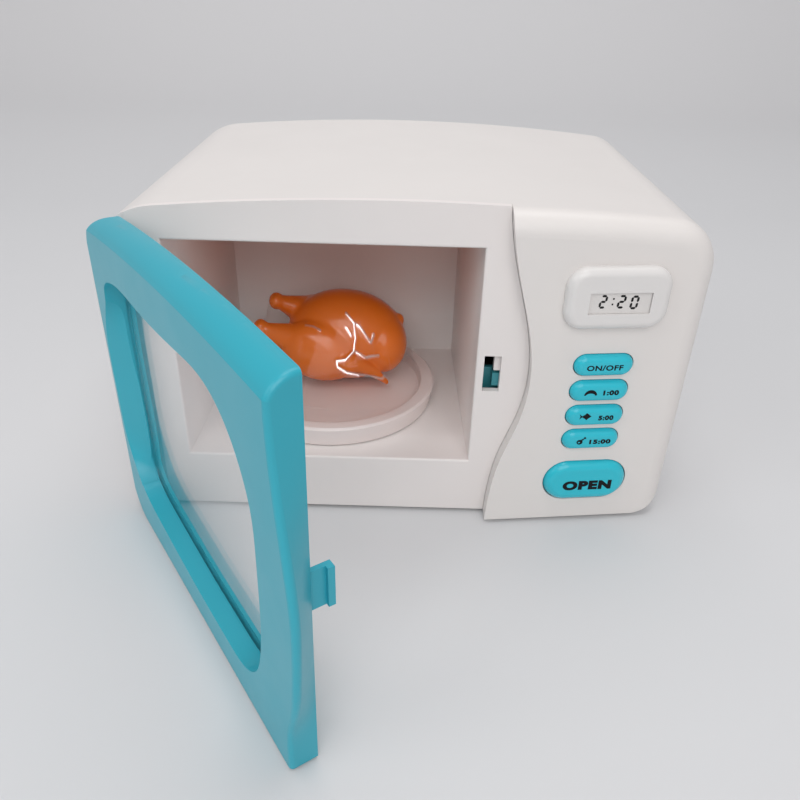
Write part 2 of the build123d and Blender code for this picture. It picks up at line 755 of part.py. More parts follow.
with BuildPart() as latch_clip:
    clip_y = LEVER_FRONT_Y + LEVER_THICK + RUN_GAP
    add(front_post(LEVER_X, LEVER_Z, BOSS_SHOULDER, (clip_y, clip_y + CLIP_THICK)))
    add(front_post(LEVER_X, LEVER_Z, LEVER_BORE - RUN_GAP, (clip_y, clip_y + CLIP_THICK)),
        mode=Mode.SUBTRACT)
save(latch_clip.part, "latch_clip")


# Back cover with its screws, and the speaker behind its sound holes
with BuildPart() as rear_cover:
    extrude(body_section(BACK_Y, COVER_INSET + COVER_GAP, SKIRT_Z + COVER_INSET + COVER_GAP),
            amount=COVER_THICK, dir=(0, -1, 0))
    with BuildSketch(front_plane(BACK_Y)):
        with Locations((SPEAKER_X, SPEAKER_Z)):
            Circle(SOUND_HOLE_RADIUS)
            with PolarLocations(SOUND_RING_RADIUS, SOUND_RING_HOLES):
                Circle(SOUND_HOLE_RADIUS)
    extrude(amount=COVER_THICK, dir=(0, -1, 0), mode=Mode.SUBTRACT)
    add(screws(cover_planes, CASE_SCREW_HEAD, CASE_SCREW_HEAD_DEPTH, SCREW_SHANK, cover_screw_length),
        mode=Mode.SUBTRACT)
save(rear_cover.part, "rear_cover")
cover_screws = screws(cover_planes, CASE_SCREW_HEAD, CASE_SCREW_HEAD_DEPTH, SCREW_SHANK, cover_screw_length)
save(cover_screws, "cover_screws")

with BuildPart() as speaker:
    add(front_post(SPEAKER_X, SPEAKER_Z, SPEAKER_RADIUS, (cover_y - SPEAKER_RIM, cover_y)))
    add(front_post(SPEAKER_X, SPEAKER_Z, MAGNET_RADIUS, (cover_y - SPEAKER_DEPTH, cover_y - SPEAKER_RIM)))
    add(front_post(SPEAKER_X, SPEAKER_Z, SPEAKER_RADIUS - SPEAKER_EDGE, (cover_y - SPEAKER_DISH, cover_y)),
        mode=Mode.SUBTRACT)
save(speaker.part, "speaker")


def grow(span, amount):
    """A span made longer by amount at each end"""
    return span[0] - amount, span[1] + amount


# Base plate, which closes the hatch and stands on the floor, and the battery door in it
battery_x = [
    sum(TRAY_X) / 2 + (cell - (BATTERY_COUNT - 1) / 2) * BATTERY_PITCH for cell in range(BATTERY_COUNT)
]
tray_floor_z = BASE_THICK + BASE_RAISE
door_screw_x = sum(TRAY_X) / 2
door_screw_y = TRAY_Y[1] + BATTERY_DOOR_TAB / 2
cell_door_y = (TRAY_Y[0], TRAY_Y[1] + BATTERY_DOOR_TAB)

with BuildPart() as base_plate:
    add(span_box(grow(HATCH_X, BASE_FLANGE), grow((-HATCH_Y, HATCH_Y), BASE_FLANGE), (0, BASE_THICK)))
    fillet(base_plate.edges().filter_by(Axis.Z), BASE_FLANGE)
    hatch_y = (-HATCH_Y, HATCH_Y)
    add(span_box(grow(HATCH_X, -COVER_GAP), grow(hatch_y, -COVER_GAP), (BASE_THICK, tray_floor_z)))
    add(span_box(TRAY_X, TRAY_Y, (0, tray_floor_z)), mode=Mode.SUBTRACT)
    add(span_box(grow(TRAY_X, HATCH_LEDGE), grow(cell_door_y, HATCH_LEDGE), (0, BASE_THICK)),
        mode=Mode.SUBTRACT)
    add(screws(base_planes, CASE_SCREW_HEAD, CASE_SCREW_HEAD_DEPTH, SCREW_SHANK, base_screw_length),
        mode=Mode.SUBTRACT)
    add(upright_post(door_screw_x, door_screw_y, SCREW_SHANK, (0, tray_floor_z)), mode=Mode.SUBTRACT)
save(base_plate.part, "base_plate")
base_screws = screws(base_planes, CASE_SCREW_HEAD, CASE_SCREW_HEAD_DEPTH, SCREW_SHANK, base_screw_length)
save(base_screws, "base_screws")

door_screw_plane = [upward(door_screw_x, door_screw_y, 0, -1)]
battery_door_screw = screws(
    door_screw_plane, CASE_SCREW_HEAD, CASE_SCREW_HEAD_DEPTH, SCREW_SHANK, tray_floor_z
)
with BuildPart() as battery_door:
    add(span_box(grow(TRAY_X, HATCH_LEDGE - COVER_GAP), grow(cell_door_y, HATCH_LEDGE - COVER_GAP),
                 (0, BASE_THICK)))
    add(battery_door_screw, mode=Mode.SUBTRACT)
save(battery_door.part, "battery_door")
save(battery_door_screw, "battery_door_screw")

with BuildPart() as battery_tray:
    add(span_box(grow(TRAY_X, TRAY_WALL), grow(TRAY_Y, TRAY_WALL), (tray_floor_z, TRAY_ROOF_Z + TRAY_WALL)))
    add(span_box(TRAY_X, TRAY_Y, (tray_floor_z - 1, TRAY_ROOF_Z)), mode=Mode.SUBTRACT)
save(battery_tray.part, "battery_tray")

battery_z = TRAY_ROOF_Z - BATTERY_SEAT_GAP - BATTERY_RADIUS
battery_middle_y = sum(TRAY_Y) / 2
battery_ends = (battery_middle_y - BATTERY_LENGTH / 2, battery_middle_y + BATTERY_LENGTH / 2)
with BuildPart() as batteries:
    for cell, x in enumerate(battery_x):
        nub = battery_ends[1] if cell % 2 == 0 else battery_ends[0] - BATTERY_NUB
        add(front_post(x, battery_z, BATTERY_RADIUS, battery_ends))
        add(front_post(x, battery_z, BATTERY_NUB_RADIUS, (nub, nub + BATTERY_NUB)))
save(batteries.part, "batteries")

contact_reach = (TRAY_Y[1] - TRAY_Y[0] - BATTERY_LENGTH) / 2 - BATTERY_NUB - CONTACT_GAP
with BuildPart() as battery_contacts:
    for x in battery_x:
        leaf_x = grow((x, x), CONTACT_HALF)
        leaf_z = grow((battery_z, battery_z), CONTACT_HALF)
        add(span_box(leaf_x, (TRAY_Y[0], TRAY_Y[0] + CONTACT_THICK), leaf_z))
        add(front_post(x, battery_z, CONTACT_BULGE, (TRAY_Y[0], TRAY_Y[0] + contact_reach)))
        add(span_box(leaf_x, (TRAY_Y[1] - CONTACT_THICK, TRAY_Y[1]), leaf_z))
        add(front_post(x, battery_z, CONTACT_BULGE, (TRAY_Y[1] - contact_reach, TRAY_Y[1])))
save(battery_contacts.part, "battery_contacts")


def front_block(sketch):
    """Block through the whole panel from a front view sketch"""
    return front_hole(sketch, FRONT_LIMIT, BOARD_FRONT_Y)


def front_edges(piece):
    """Edges round the front of a piece that follows the panel's curve"""
    return piece.faces().sort_by(SortBy.AREA)[-2:].sort_by(Axis.Y)[0].edges()


# Display bezel and the display behind its window
with BuildPart() as display_bezel:
    add(front_block(rounded_box(BEZEL_X, BEZEL_Z, BEZEL_WIDTH, BEZEL_HEIGHT, BEZEL_CORNER, FRONT_LIMIT)))
    add(panel_band(-BEZEL_PROUD, 0), mode=Mode.INTERSECT)
    fillet(front_edges(display_bezel), BEZEL_ROUND)
    add(front_block(rounded_box(GLASS_X, GLASS_Z, GLASS_WIDTH, GLASS_HEIGHT, GLASS_CORNER, FRONT_LIMIT)),
        mode=Mode.SUBTRACT)
save(display_bezel.part, "display_bezel")

with BuildPart() as display_back:
    add(front_block(rounded_box(GLASS_X, GLASS_Z, GLASS_WIDTH + 2 * DISPLAY_BACK_LAP,
                                GLASS_HEIGHT + 2 * DISPLAY_BACK_LAP, GLASS_CORNER, FRONT_LIMIT)))
    add(panel_band(WALL, WALL + DISPLAY_BACK_THICK), mode=Mode.INTERSECT)

with BuildPart() as display:
    add(front_block(rounded_box(GLASS_X, GLASS_Z, GLASS_WIDTH - 2 * GLASS_FIT, GLASS_HEIGHT - 2 * GLASS_FIT,
                                GLASS_CORNER - GLASS_FIT, FRONT_LIMIT)))
    add(panel_band(GLASS_RECESS - BEZEL_PROUD, WALL + DISPLAY_BACK_THICK), mode=Mode.INTERSECT)
    add(display_back.part)
save(display.part, "display")


# Buttons: a domed cap through the panel, a flange behind it, and a stem
flange_front = WALL + BUTTON_GAP
flange_back = flange_front + BUTTON_FLANGE


def button(x, z, width, height, edge_round):
    """Cap and flange of one button, which follow the panel's curve"""
    with BuildPart() as flange:
        add(front_block(obround(x, z, width + 2 * BUTTON_LAP, height + 2 * BUTTON_LAP, FRONT_LIMIT)))
        add(panel_band(flange_front, flange_back), mode=Mode.INTERSECT)
    with BuildPart() as cap:
        add(front_block(obround(x, z, width, height, FRONT_LIMIT)))
        add(panel_band(-BUTTON_PROUD, flange_back), mode=Mode.INTERSECT)
        fillet(front_edges(cap), edge_round)
        add(flange.part)
    return cap.part


plunger_front_y = BOARD_FRONT_Y - SWITCH_DEPTH - PLUNGER_DEPTH
stem_end_y = plunger_front_y - BUTTON_TRAVEL - PRESS_GAP
for name, (x, z) in zip(BUTTON_NAMES, small_buttons):
    with BuildPart() as small_button:
        add(button(x, z, BUTTON_WIDTH, BUTTON_HEIGHT, BUTTON_ROUND))
        add(front_post(x, z, STEM_RADIUS, (PANEL_MIDDLE[1] + flange_front, stem_end_y)))
    save(small_button.part, name)

wedge_root_y = PANEL_MIDDLE[1] + flange_front
with BuildPart() as wedge:
    with BuildSketch(Plane.YZ.offset(WEDGE_X[0])):
        with BuildLine():
            Polyline(
                (wedge_root_y, WEDGE_Z[1]),
                (WEDGE_TIP_Y, WEDGE_Z[1]),
                (WEDGE_TIP_Y, WEDGE_Z[0]),
                (WEDGE_TIP_Y - WEDGE_RUN, WEDGE_Z[0] - WEDGE_DROP),
                (wedge_root_y, WEDGE_Z[0] - WEDGE_DROP),
                close=True,
            )
        make_face()
    extrude(amount=WEDGE_X[1] - WEDGE_X[0])

with BuildPart() as button_open:
    add(button(OPEN_X, OPEN_Z, OPEN_WIDTH, OPEN_HEIGHT, OPEN_ROUND))
    add(wedge.part)
save(button_open.part, "button_open")

foot_top_z = WEDGE_Z[0] - LEVER_FOOT_GAP
with BuildPart() as latch_lever:
    with BuildSketch(front_plane(LEVER_FRONT_Y)):
        with BuildLine():
            Polyline(
                (TOOTH_X[0] - LEVER_ARM, TOOTH_Z[1]),
                (TOOTH_X[1], TOOTH_Z[1]),
                (LEVER_X + LEVER_ARM, LEVER_Z + LEVER_ARM),
                (WEDGE_X[0] - 2, foot_top_z),
                (WEDGE_X[1] + 1, foot_top_z),
                (WEDGE_X[1] + 1, foot_top_z - LEVER_FOOT),
                (WEDGE_X[0] - 2, foot_top_z - LEVER_FOOT),
                (LEVER_X - LEVER_ARM, LEVER_Z - LEVER_ARM),
                close=True,
            )
        make_face()
        with Locations((LEVER_X, LEVER_Z)):
            Circle(LEVER_HUB)
            Circle(LEVER_BORE, mode=Mode.SUBTRACT)
    extrude(amount=LEVER_THICK, dir=(0, 1, 0))
    add(span_box(TOOTH_X, (TOOTH_FRONT_Y, LEVER_FRONT_Y + LEVER_THICK / 2), TOOTH_Z))
save(latch_lever.part, "latch_lever")


# Circuit board with its chips, the switches behind the small buttons, and its screws
board_screws = screws(board_planes, SCREW_HEAD, SCREW_HEAD_DEPTH, SCREW_SHANK, BOARD_SCREW_LENGTH)
with BuildPart() as circuit_board:
    add(span_box(BOARD_X, (BOARD_FRONT_Y, board_back_y), BOARD_Z))
    add(board_screws, mode=Mode.SUBTRACT)
    for x, z in CHIP_PLACES:
        chip_y = (board_back_y, board_back_y + CHIP_DEPTH)
        add(span_box(grow((x, x), CHIP_HALF), chip_y, grow((z, z), CHIP_HALF)))
save(circuit_board.part, "circuit_board")
save(board_screws, "board_screws")

with BuildPart() as switches:
    for x, z in small_buttons:
        half = SWITCH_SIDE / 2
        add(span_box(grow((x, x), half), (BOARD_FRONT_Y - SWITCH_DEPTH, BOARD_FRONT_Y), grow((z, z), half)))
        add(front_post(x, z, PLUNGER_RADIUS, (plunger_front_y, BOARD_FRONT_Y - SWITCH_DEPTH)))
save(switches.part, "switches")

with BuildPart() as lamp:
    add(upright_post(LAMP_X, LAMP_Y, LAMP_RADIUS, (CAVITY_TOP - LAMP_DROP, CAVITY_TOP + LAMP_RISE)))
    fillet(lamp.edges().sort_by(Axis.Z)[0], LAMP_RADIUS * 0.9)
    add(upright_post(LAMP_X, LAMP_Y, LAMP_RADIUS + LAMP_COLLAR,
                     (CAVITY_TOP + CAVITY_WALL, CAVITY_TOP + CAVITY_WALL + LAMP_COLLAR)))
save(lamp.part, "lamp")


# Door, built shut in front of the oven frame
def door_top_z(x):
    """Height of the door's crowned top edge"""
    return roof_z(x) - DOOR_TOP_DROP


def door_outline(y, inset, right_x, low):
    """Front view of the door with its rounded hinge side and a straight right side"""
    left_x = DOOR_LEFT_X + inset
    left_top = door_top_z(left_x) - inset
    right_top = door_top_z(right_x) - inset
    with BuildSketch(front_plane(y)) as outline:
        with BuildLine():
            ThreePointArc((left_x, left_top), (0, ROOF_Z - DOOR_TOP_DROP - inset), (right_x, right_top))
            Polyline((right_x, right_top), (right_x, low), (left_x, low), (left_x, left_top))
        make_face()
        fillet(corner(outline, -1, 0), DOOR_LOW_CORNER_RADIUS - inset)
        fillet(corner(outline, -1, -1), DOOR_CORNER_RADIUS - inset)
    return outline.sketch


def grown_outline(grow_by):
    """Points of the window's outline, each moved outwards by grow_by"""
    count = len(WINDOW_OUTLINE)
    moved = []
    for place, (x, z) in enumerate(WINDOW_OUTLINE):
        before = WINDOW_OUTLINE[place - 1]
        after = WINDOW_OUTLINE[(place + 1) % count]
        along_x = after[0] - before[0]
        along_z = after[1] - before[1]
        length = hypot(along_x, along_z)
        moved.append((x - grow_by * along_z / length, z + grow_by * along_x / length))
    return moved


def window_shape(y, grow_by):
    """Front view of the window opening, grown outwards"""
    with BuildSketch(front_plane(y)) as opening:
        with BuildLine():
            Spline(grown_outline(grow_by), periodic=True)
        make_face()
    return opening.sketch


def at_back(distance):
    """Depth that lies at a distance in front of the door's back face"""
    return DOOR_BACK_Y - distance


def outline_layer(inset, right_x, low, near, far):
    """Block of the door's outline, between two distances in front of its back face"""
    return front_hole(door_outline(at_back(far), inset, right_x, low), at_back(far), at_back(near))


def window_layer(grow_by, near, far):
    """Block of the window's outline, between two distances in front of the door's back face"""
    return front_hole(window_shape(at_back(far), grow_by), at_back(far), at_back(near))


def end_cut():
    """What lies past the door's free end: straight at the back face, wavy at the front face"""
    far_x = 120.0
    top_z = DOOR_WAVE[0][1]
    low_z = DOOR_WAVE[-1][1]
    with BuildSketch(front_plane(at_back(0))) as back_side:
        with BuildLine():
            Line((DOOR_END_X + DOOR_END_LEAN, top_z), (DOOR_END_X, low_z))
            Polyline((DOOR_END_X, low_z), (far_x, low_z), (far_x, top_z), (DOOR_END_X + DOOR_END_LEAN, top_z))
        make_face()
    with BuildSketch(front_plane(at_back(DOOR_THICK + 1))) as front_side:
        with BuildLine():
            edge = Spline(DOOR_WAVE)
            Polyline(edge @ 1, (far_x, low_z), (far_x, top_z), edge @ 0)
        make_face()
    with BuildPart() as cut:
        loft([back_side.sketch, front_side.sketch])
        extrude(back_side.sketch, amount=1, dir=(0, 1, 0))
    return cut.part


lug_notches = [
    (z - LUG_HEIGHT / 2 - NOTCH_GAP, z + LUG_HEIGHT / 2 + NOTCH_GAP) for z in LUG_Z
]
pin_spans = [(low - PIN_BITE, high + PIN_BITE) for low, high in lug_notches]
door_end_cut = end_cut()
far_right = 70.0

with BuildPart() as door_block:
    # The top edge is rounded on a long block, so that the round runs out at the hinge side's corner
    with BuildSketch(front_plane(at_back(0))):
        with BuildLine():
            over = -150.0
            over_top = (over, door_top_z(over))
            right_top = (far_right, door_top_z(far_right))
            ThreePointArc(over_top, (0, ROOF_Z - DOOR_TOP_DROP), right_top)
            Polyline(right_top, (far_right, DOOR_BOTTOM_Z), (over, DOOR_BOTTOM_Z), over_top)
        make_face()
    extrude(amount=DOOR_THICK + DOOR_FACE_CREASE, dir=(0, -1, 0))
    door_face = door_block.faces().sort_by(Axis.Y)[0]
    fillet(door_face.edges().sort_by(Axis.Z)[-1], DOOR_FACE_ROUND)
    # Cutting the face back leaves a crease where the round meets it
    add(outline_layer(0, far_right, DOOR_BOTTOM_Z, -1, DOOR_THICK), mode=Mode.INTERSECT)
    add(door_end_cut, mode=Mode.SUBTRACT)
    end_face = door_block.faces().filter_by(lambda f: f.center().X > DOOR_END_X - 1).sort_by(SortBy.AREA)[-1]
    lip_edges = end_face.edges().filter_by(lambda e: e.center().Y < at_back(1) and e.center().Z > 10)
    fillet(lip_edges, DOOR_LIP_ROUND)

with BuildPart() as sweep_trim:
    # The hinge side is cut back to the arc that it turns on
    add(span_box((DOOR_LEFT_X - 10, HINGE_X), (at_back(DOOR_THICK + 1), at_back(-1)), (BELOW, ABOVE)))
    add(hinge_cylinder(HINGE_SWEEP), mode=Mode.SUBTRACT)

recess_right = DOOR_END_X - DOOR_END_WALL
recess_low = DOOR_BOTTOM_Z + DOOR_WALL
hollow_left = WINDOW_OUTLINE[0][0]

with BuildPart() as hinge_side_flare:
    # The window's wall on the hinge side slants out to the front
    for distance, points in ((FLARE_SEAT, FLARE_BACK), (DOOR_THICK + 1, FLARE_FRONT)):
        with BuildSketch(front_plane(at_back(distance))):
            with BuildLine():
                Spline(points)
                Line(points[-1], points[0])
            make_face()
    loft()

seat_left = NOTCH_END_X + SEAT_WALL
with BuildPart() as window_seat:
    add(window_layer(WINDOW_LAP + INNER_FRAME_GAP, -1, INNER_FRAME_THICK + WINDOW_THICK))
    add(span_box((DOOR_LEFT_X - 1, seat_left), (at_back(DOOR_THICK), at_back(-2)), (BELOW, ABOVE)),
        mode=Mode.SUBTRACT)

with BuildPart() as door_hollow:
    add(outline_layer(DOOR_TOP_WALL, recess_right, recess_low, -1, DOOR_THICK - DOOR_WALL))
    add(window_layer(DOOR_WALL, -2, DOOR_THICK), mode=Mode.SUBTRACT)
    add(span_box((DOOR_LEFT_X - 1, hollow_left), (at_back(DOOR_THICK), at_back(-1)), (BELOW, ABOVE)),
        mode=Mode.SUBTRACT)

with BuildPart() as frame_recess:
    add(outline_layer(DOOR_WALL, recess_right, recess_low, -1, INNER_FRAME_THICK))
    add(span_box((DOOR_LEFT_X - 1, hollow_left), (at_back(DOOR_THICK), at_back(-2)), (BELOW, ABOVE)),
        mode=Mode.SUBTRACT)

with BuildPart() as door_shut:
    add(door_block.part)
    add(sweep_trim.part, mode=Mode.SUBTRACT)
    add(span_box((DOOR_LEFT_X - 1, DOOR_LEFT_X + DOOR_RELIEF), (at_back(DOOR_THICK + 1), at_back(-1)),
                 DOOR_RELIEF_Z), mode=Mode.SUBTRACT)
    add(window_layer(0, -1, DOOR_THICK + 1), mode=Mode.SUBTRACT)
    add(hinge_side_flare.part, mode=Mode.SUBTRACT)
    add(door_hollow.part, mode=Mode.SUBTRACT)
    add(frame_recess.part, mode=Mode.SUBTRACT)
    add(window_seat.part, mode=Mode.SUBTRACT)
    for low, high in lug_notches:
        add(span_box((DOOR_LEFT_X - 1, NOTCH_END_X), (at_back(NOTCH_DEPTH), at_back(-1)), (low, high)),
            mode=Mode.SUBTRACT)
    for span in pin_spans:
        add(upright_post(HINGE_X, HINGE_Y, PIN_RADIUS, span), mode=Mode.SUBTRACT)
    # Latch hook
    add(span_box(HOOK_X, (at_back(DOOR_WALL), at_back(-HOOK_REACH)), HOOK_Z))
    add(span_box((HOOK_X[0], HOOK_X[1] + BARB_STEP), (at_back(BARB_REACH - HOOK_REACH), at_back(-HOOK_REACH)),
                 HOOK_Z))
save(swing(door_shut.part), "door_frame")

with BuildPart() as inner_frame_shut:
    add(outline_layer(DOOR_WALL + INNER_FRAME_GAP, recess_right - INNER_FRAME_GAP,
                      recess_low + INNER_FRAME_GAP, 0, INNER_FRAME_THICK))
    add(window_layer(-INNER_FRAME_SHOW, -1, INNER_FRAME_THICK + 1), mode=Mode.SUBTRACT)
    add(span_box((DOOR_LEFT_X - 1, hollow_left + INNER_FRAME_GAP), (at_back(DOOR_THICK), at_back(-2)),
                 (BELOW, ABOVE)), mode=Mode.SUBTRACT)
save(swing(inner_frame_shut.part), "door_inner_frame")

with BuildPart() as pane_shut:
    add(window_layer(WINDOW_LAP, INNER_FRAME_THICK, INNER_FRAME_THICK + WINDOW_THICK))
    add(span_box((DOOR_LEFT_X - 1, seat_left + INNER_FRAME_GAP), (at_back(DOOR_THICK), at_back(-2)),
                 (BELOW, ABOVE)), mode=Mode.SUBTRACT)
save(swing(pane_shut.part), "door_window")

with BuildPart() as pins_shut:
    for span in pin_spans:
        add(upright_post(HINGE_X, HINGE_Y, PIN_RADIUS, span))
save(pins_shut.part, "hinge_pins")


# Gears, with straight-sided teeth
def gear_outline(teeth, z, place, turn):
    """Plan of a gear centred on place, with its first tooth turned by turn degrees"""
    pitch_radius = GEAR_MODULE * teeth / 2
    tip = pitch_radius + TOOTH_ADDENDUM * GEAR_MODULE
    root = pitch_radius - TOOTH_DEDENDUM * GEAR_MODULE
    pitch_angle = 360 / teeth
    points = []
    for tooth in range(teeth):
        for share, radius in ((-ROOT_SHARE, root), (-TIP_SHARE, tip), (TIP_SHARE, tip), (ROOT_SHARE, root)):
            angle = radians(turn + pitch_angle * (tooth + share))
            points.append((place[0] + radius * cos(angle), place[1] + radius * sin(angle)))
    with BuildSketch(Plane.XY.offset(z)) as outline:
        with BuildLine():
            Polyline(points, close=True)
        make_face()
    return outline.sketch


def ring_post(place, outer, inner, z_span):
    """Upright tube"""
    with BuildPart() as ring:
        add(upright_post(place[0], place[1], outer, z_span))
        add(upright_post(place[0], place[1], inner, z_span), mode=Mode.SUBTRACT)
    return ring.part


def hex_block(radius, z_span):
    """Upright hexagonal drive about the spindle"""
    with BuildPart() as block:
        with BuildSketch(Plane.XY.offset(z_span[0])):
            with Locations((SPINDLE_X, SPINDLE_Y)):
                RegularPolygon(radius, 6)
        extrude(amount=z_span[1] - z_span[0])
    return block.part


spindle_place = (SPINDLE_X, SPINDLE_Y)
idler_place = (SPINDLE_X, SPINDLE_Y + GEAR_MODULE * (SPINDLE_TEETH + IDLER_SMALL_TEETH) / 2)
motor_place = (SPINDLE_X, idler_place[1] + GEAR_MODULE * (IDLER_BIG_TEETH + PINION_TEETH) / 2)
bearing_top_z = LOW_GEAR_Z[0] - BEARING_GAP
box_floor = (tray_floor_z, GEARBOX_FLOOR_Z)
gearbox_x = grow((SPINDLE_X, SPINDLE_X), GEARBOX_MARGIN)
gearbox_y = (SPINDLE_Y - GEARBOX_MARGIN, motor_place[1] + GEARBOX_MARGIN)
pillar_inset = GEARBOX_BOSS
pillars = [
    (x, y)
    for x in (gearbox_x[0] + pillar_inset, gearbox_x[1] - pillar_inset)
    for y in (gearbox_y[0] + pillar_inset, gearbox_y[1] - pillar_inset)
]
pillar_planes = [upward(x, y, GEARBOX_ROOF_Z[1], 1) for x, y in pillars]
gearbox_screws = screws(pillar_planes, SCREW_HEAD, SCREW_HEAD_DEPTH, SCREW_SHANK, GEARBOX_SCREW_LENGTH)

with BuildPart() as gearbox_base:
    add(span_box(gearbox_x, gearbox_y, box_floor))
    for x, y in pillars:
        add(upright_post(x, y, GEARBOX_BOSS, (box_floor[0], GEARBOX_ROOF_Z[0])))
    add(ring_post(spindle_place, BEARING_RADIUS, JOURNAL_RADIUS + RUN_GAP, (GEARBOX_FLOOR_Z, bearing_top_z)))
    add(ring_post(idler_place, BEARING_RADIUS - 1, IDLER_PIN_RADIUS, (GEARBOX_FLOOR_Z, bearing_top_z - 0.1)))
    add(ring_post(motor_place, MOTOR_RADIUS + TRAY_WALL, MOTOR_RADIUS + MOTOR_FIT,
                  (GEARBOX_FLOOR_Z, MOTOR_CUP_Z)))
    add(gearbox_screws, mode=Mode.SUBTRACT)
save(gearbox_base.part, "gearbox_base")

with BuildPart() as gearbox_cover:
    add(span_box(gearbox_x, gearbox_y, GEARBOX_ROOF_Z))
    add(upright_post(*spindle_place, SPINDLE_RADIUS + COVER_GAP, GEARBOX_ROOF_Z), mode=Mode.SUBTRACT)
    add(upright_post(*idler_place, IDLER_PIN_RADIUS, GEARBOX_ROOF_Z), mode=Mode.SUBTRACT)
    add(gearbox_screws, mode=Mode.SUBTRACT)
save(gearbox_cover.part, "gearbox_cover")
save(gearbox_screws, "gearbox_screws")

idler_pin = upright_post(*idler_place, IDLER_PIN_RADIUS, (GEARBOX_FLOOR_Z, GEARBOX_ROOF_Z[1]))
save(idler_pin, "idler_pin")

with BuildPart() as drive_spindle:
    add(upright_post(*spindle_place, JOURNAL_RADIUS, (GEARBOX_FLOOR_Z, LOW_GEAR_Z[0])))
    add(upright_post(*spindle_place, SPINDLE_RADIUS, (LOW_GEAR_Z[0], CAVITY_FLOOR + SPINDLE_RISE)))
    add(hex_block(HEX_RADIUS, (CAVITY_FLOOR, HEX_TOP_Z)))
save(drive_spindle.part, "drive_spindle")

with BuildPart() as spindle_gear:
    extrude(gear_outline(SPINDLE_TEETH, LOW_GEAR_Z[0], spindle_place, 0), amount=LOW_GEAR_Z[1] - LOW_GEAR_Z[0])
    add(upright_post(*spindle_place, SPINDLE_RADIUS, LOW_GEAR_Z), mode=Mode.SUBTRACT)
save(spindle_gear.part, "spindle_gear")

with BuildPart() as idler_gear:
    low_turn = 180 / IDLER_SMALL_TEETH
    extrude(gear_outline(IDLER_SMALL_TEETH, LOW_GEAR_Z[0], idler_place, low_turn),
            amount=HIGH_GEAR_Z[0] - LOW_GEAR_Z[0])
    extrude(gear_outline(IDLER_BIG_TEETH, HIGH_GEAR_Z[0], idler_place, 0),
            amount=HIGH_GEAR_Z[1] - HIGH_GEAR_Z[0])
    add(upright_post(*idler_place, IDLER_PIN_RADIUS + RUN_GAP, (LOW_GEAR_Z[0], HIGH_GEAR_Z[1])),
        mode=Mode.SUBTRACT)
save(idler_gear.part, "idler_gear")

with BuildPart() as motor:
    add(upright_post(*motor_place, MOTOR_RADIUS, (GEARBOX_FLOOR_Z, MOTOR_TOP_Z)))
    fillet(motor.edges().sort_by(Axis.Z)[-1], 1.5)
    add(upright_post(*motor_place, MOTOR_NOSE_RADIUS, (MOTOR_TOP_Z, MOTOR_TOP_Z + 1)))
    add(upright_post(*motor_place, MOTOR_SHAFT_RADIUS + RUN_GAP, (MOTOR_TOP_Z - 3, MOTOR_TOP_Z + 2)),
        mode=Mode.SUBTRACT)
save(motor.part, "motor")

with BuildPart() as motor_pinion:
    pinion_turn = 180 / PINION_TEETH
    extrude(gear_outline(PINION_TEETH, HIGH_GEAR_Z[0] - 0.5, motor_place, pinion_turn),
            amount=HIGH_GEAR_Z[1] - HIGH_GEAR_Z[0] + 1)
    add(upright_post(*motor_place, MOTOR_SHAFT_RADIUS, (MOTOR_TOP_Z - 2, HIGH_GEAR_Z[0])))
save(motor_pinion.part, "motor_pinion")

# Turntable plate
with BuildPart() as turntable_plate:
    with BuildSketch(Plane.XZ.offset(-SPINDLE_Y)):
        with BuildLine():
            rim_inner = PLATE_RADIUS - PLATE_RIM_WIDTH
            under_z = PLATE_FLOOR_Z - PLATE_WALL
            Polyline(
                (SPINDLE_X, PLATE_FLOOR_Z),
                (SPINDLE_X + rim_inner - 1.2, PLATE_FLOOR_Z),
                (SPINDLE_X + rim_inner, PLATE_RIM_Z),
                (SPINDLE_X + PLATE_RADIUS - 1, PLATE_RIM_Z),
                (SPINDLE_X + PLATE_RADIUS, PLATE_RIM_Z - 1),
                (SPINDLE_X + PLATE_RADIUS - 1.6, PLATE_FOOT_Z),
                (SPINDLE_X + PLATE_RADIUS - 4, PLATE_FOOT_Z),
                (SPINDLE_X + PLATE_RADIUS - 4.6, under_z),
                (SPINDLE_X + HUB_RADIUS, under_z),
                (SPINDLE_X + HUB_RADIUS, PLATE_FOOT_Z + 0.2),
                (SPINDLE_X, PLATE_FOOT_Z + 0.2),
                close=True,
            )
        make_face()
    revolve(axis=Axis((SPINDLE_X, SPINDLE_Y, 0), (0, 0, 1)))
    rim_edges = turntable_plate.edges().filter_by(
        lambda e: e.center().Z > PLATE_RIM_Z - 0.01 and e.length > 2 * PLATE_RADIUS
    )
    fillet(rim_edges, PLATE_RIM_ROUND)
    add(hex_block(HEX_RADIUS + HEX_FIT, (PLATE_FOOT_Z - 1, HEX_TOP_Z + HEX_FIT)), mode=Mode.SUBTRACT)
    add(upright_post(*spindle_place, SPINDLE_RADIUS + COVER_GAP, (PLATE_FOOT_Z - 1, PLATE_FOOT_Z + 0.6)),
        mode=Mode.SUBTRACT)
save(turntable_plate.part, "turntable_plate")


# Food under its clear film
def stacked_rings(rings, inset):
    """Smooth form through a stack of ellipses, each drawn in by inset"""
    with BuildPart() as form:
        for z, left, right, middle_y, half_depth in rings:
            with BuildSketch(Plane.XY.offset(z)):
                with Locations(((left + right) / 2, middle_y)):
                    Ellipse((right - left) / 2 - inset, half_depth - inset)
        loft()
    return form.part


def limb(start, end, thick, thin):
    """Tapered limb with rounded ends"""
    along = Vector(*end) - Vector(*start)
    plane = Plane(origin=start, z_dir=along)
    with BuildPart() as bone:
        with BuildSketch(plane):
            Circle(thick)
        with BuildSketch(plane.offset(along.length)):
            Circle(thin)
        loft()
        with Locations(start):
            Sphere(thick)
        with Locations(end):
            Sphere(thin)
    return bone.part


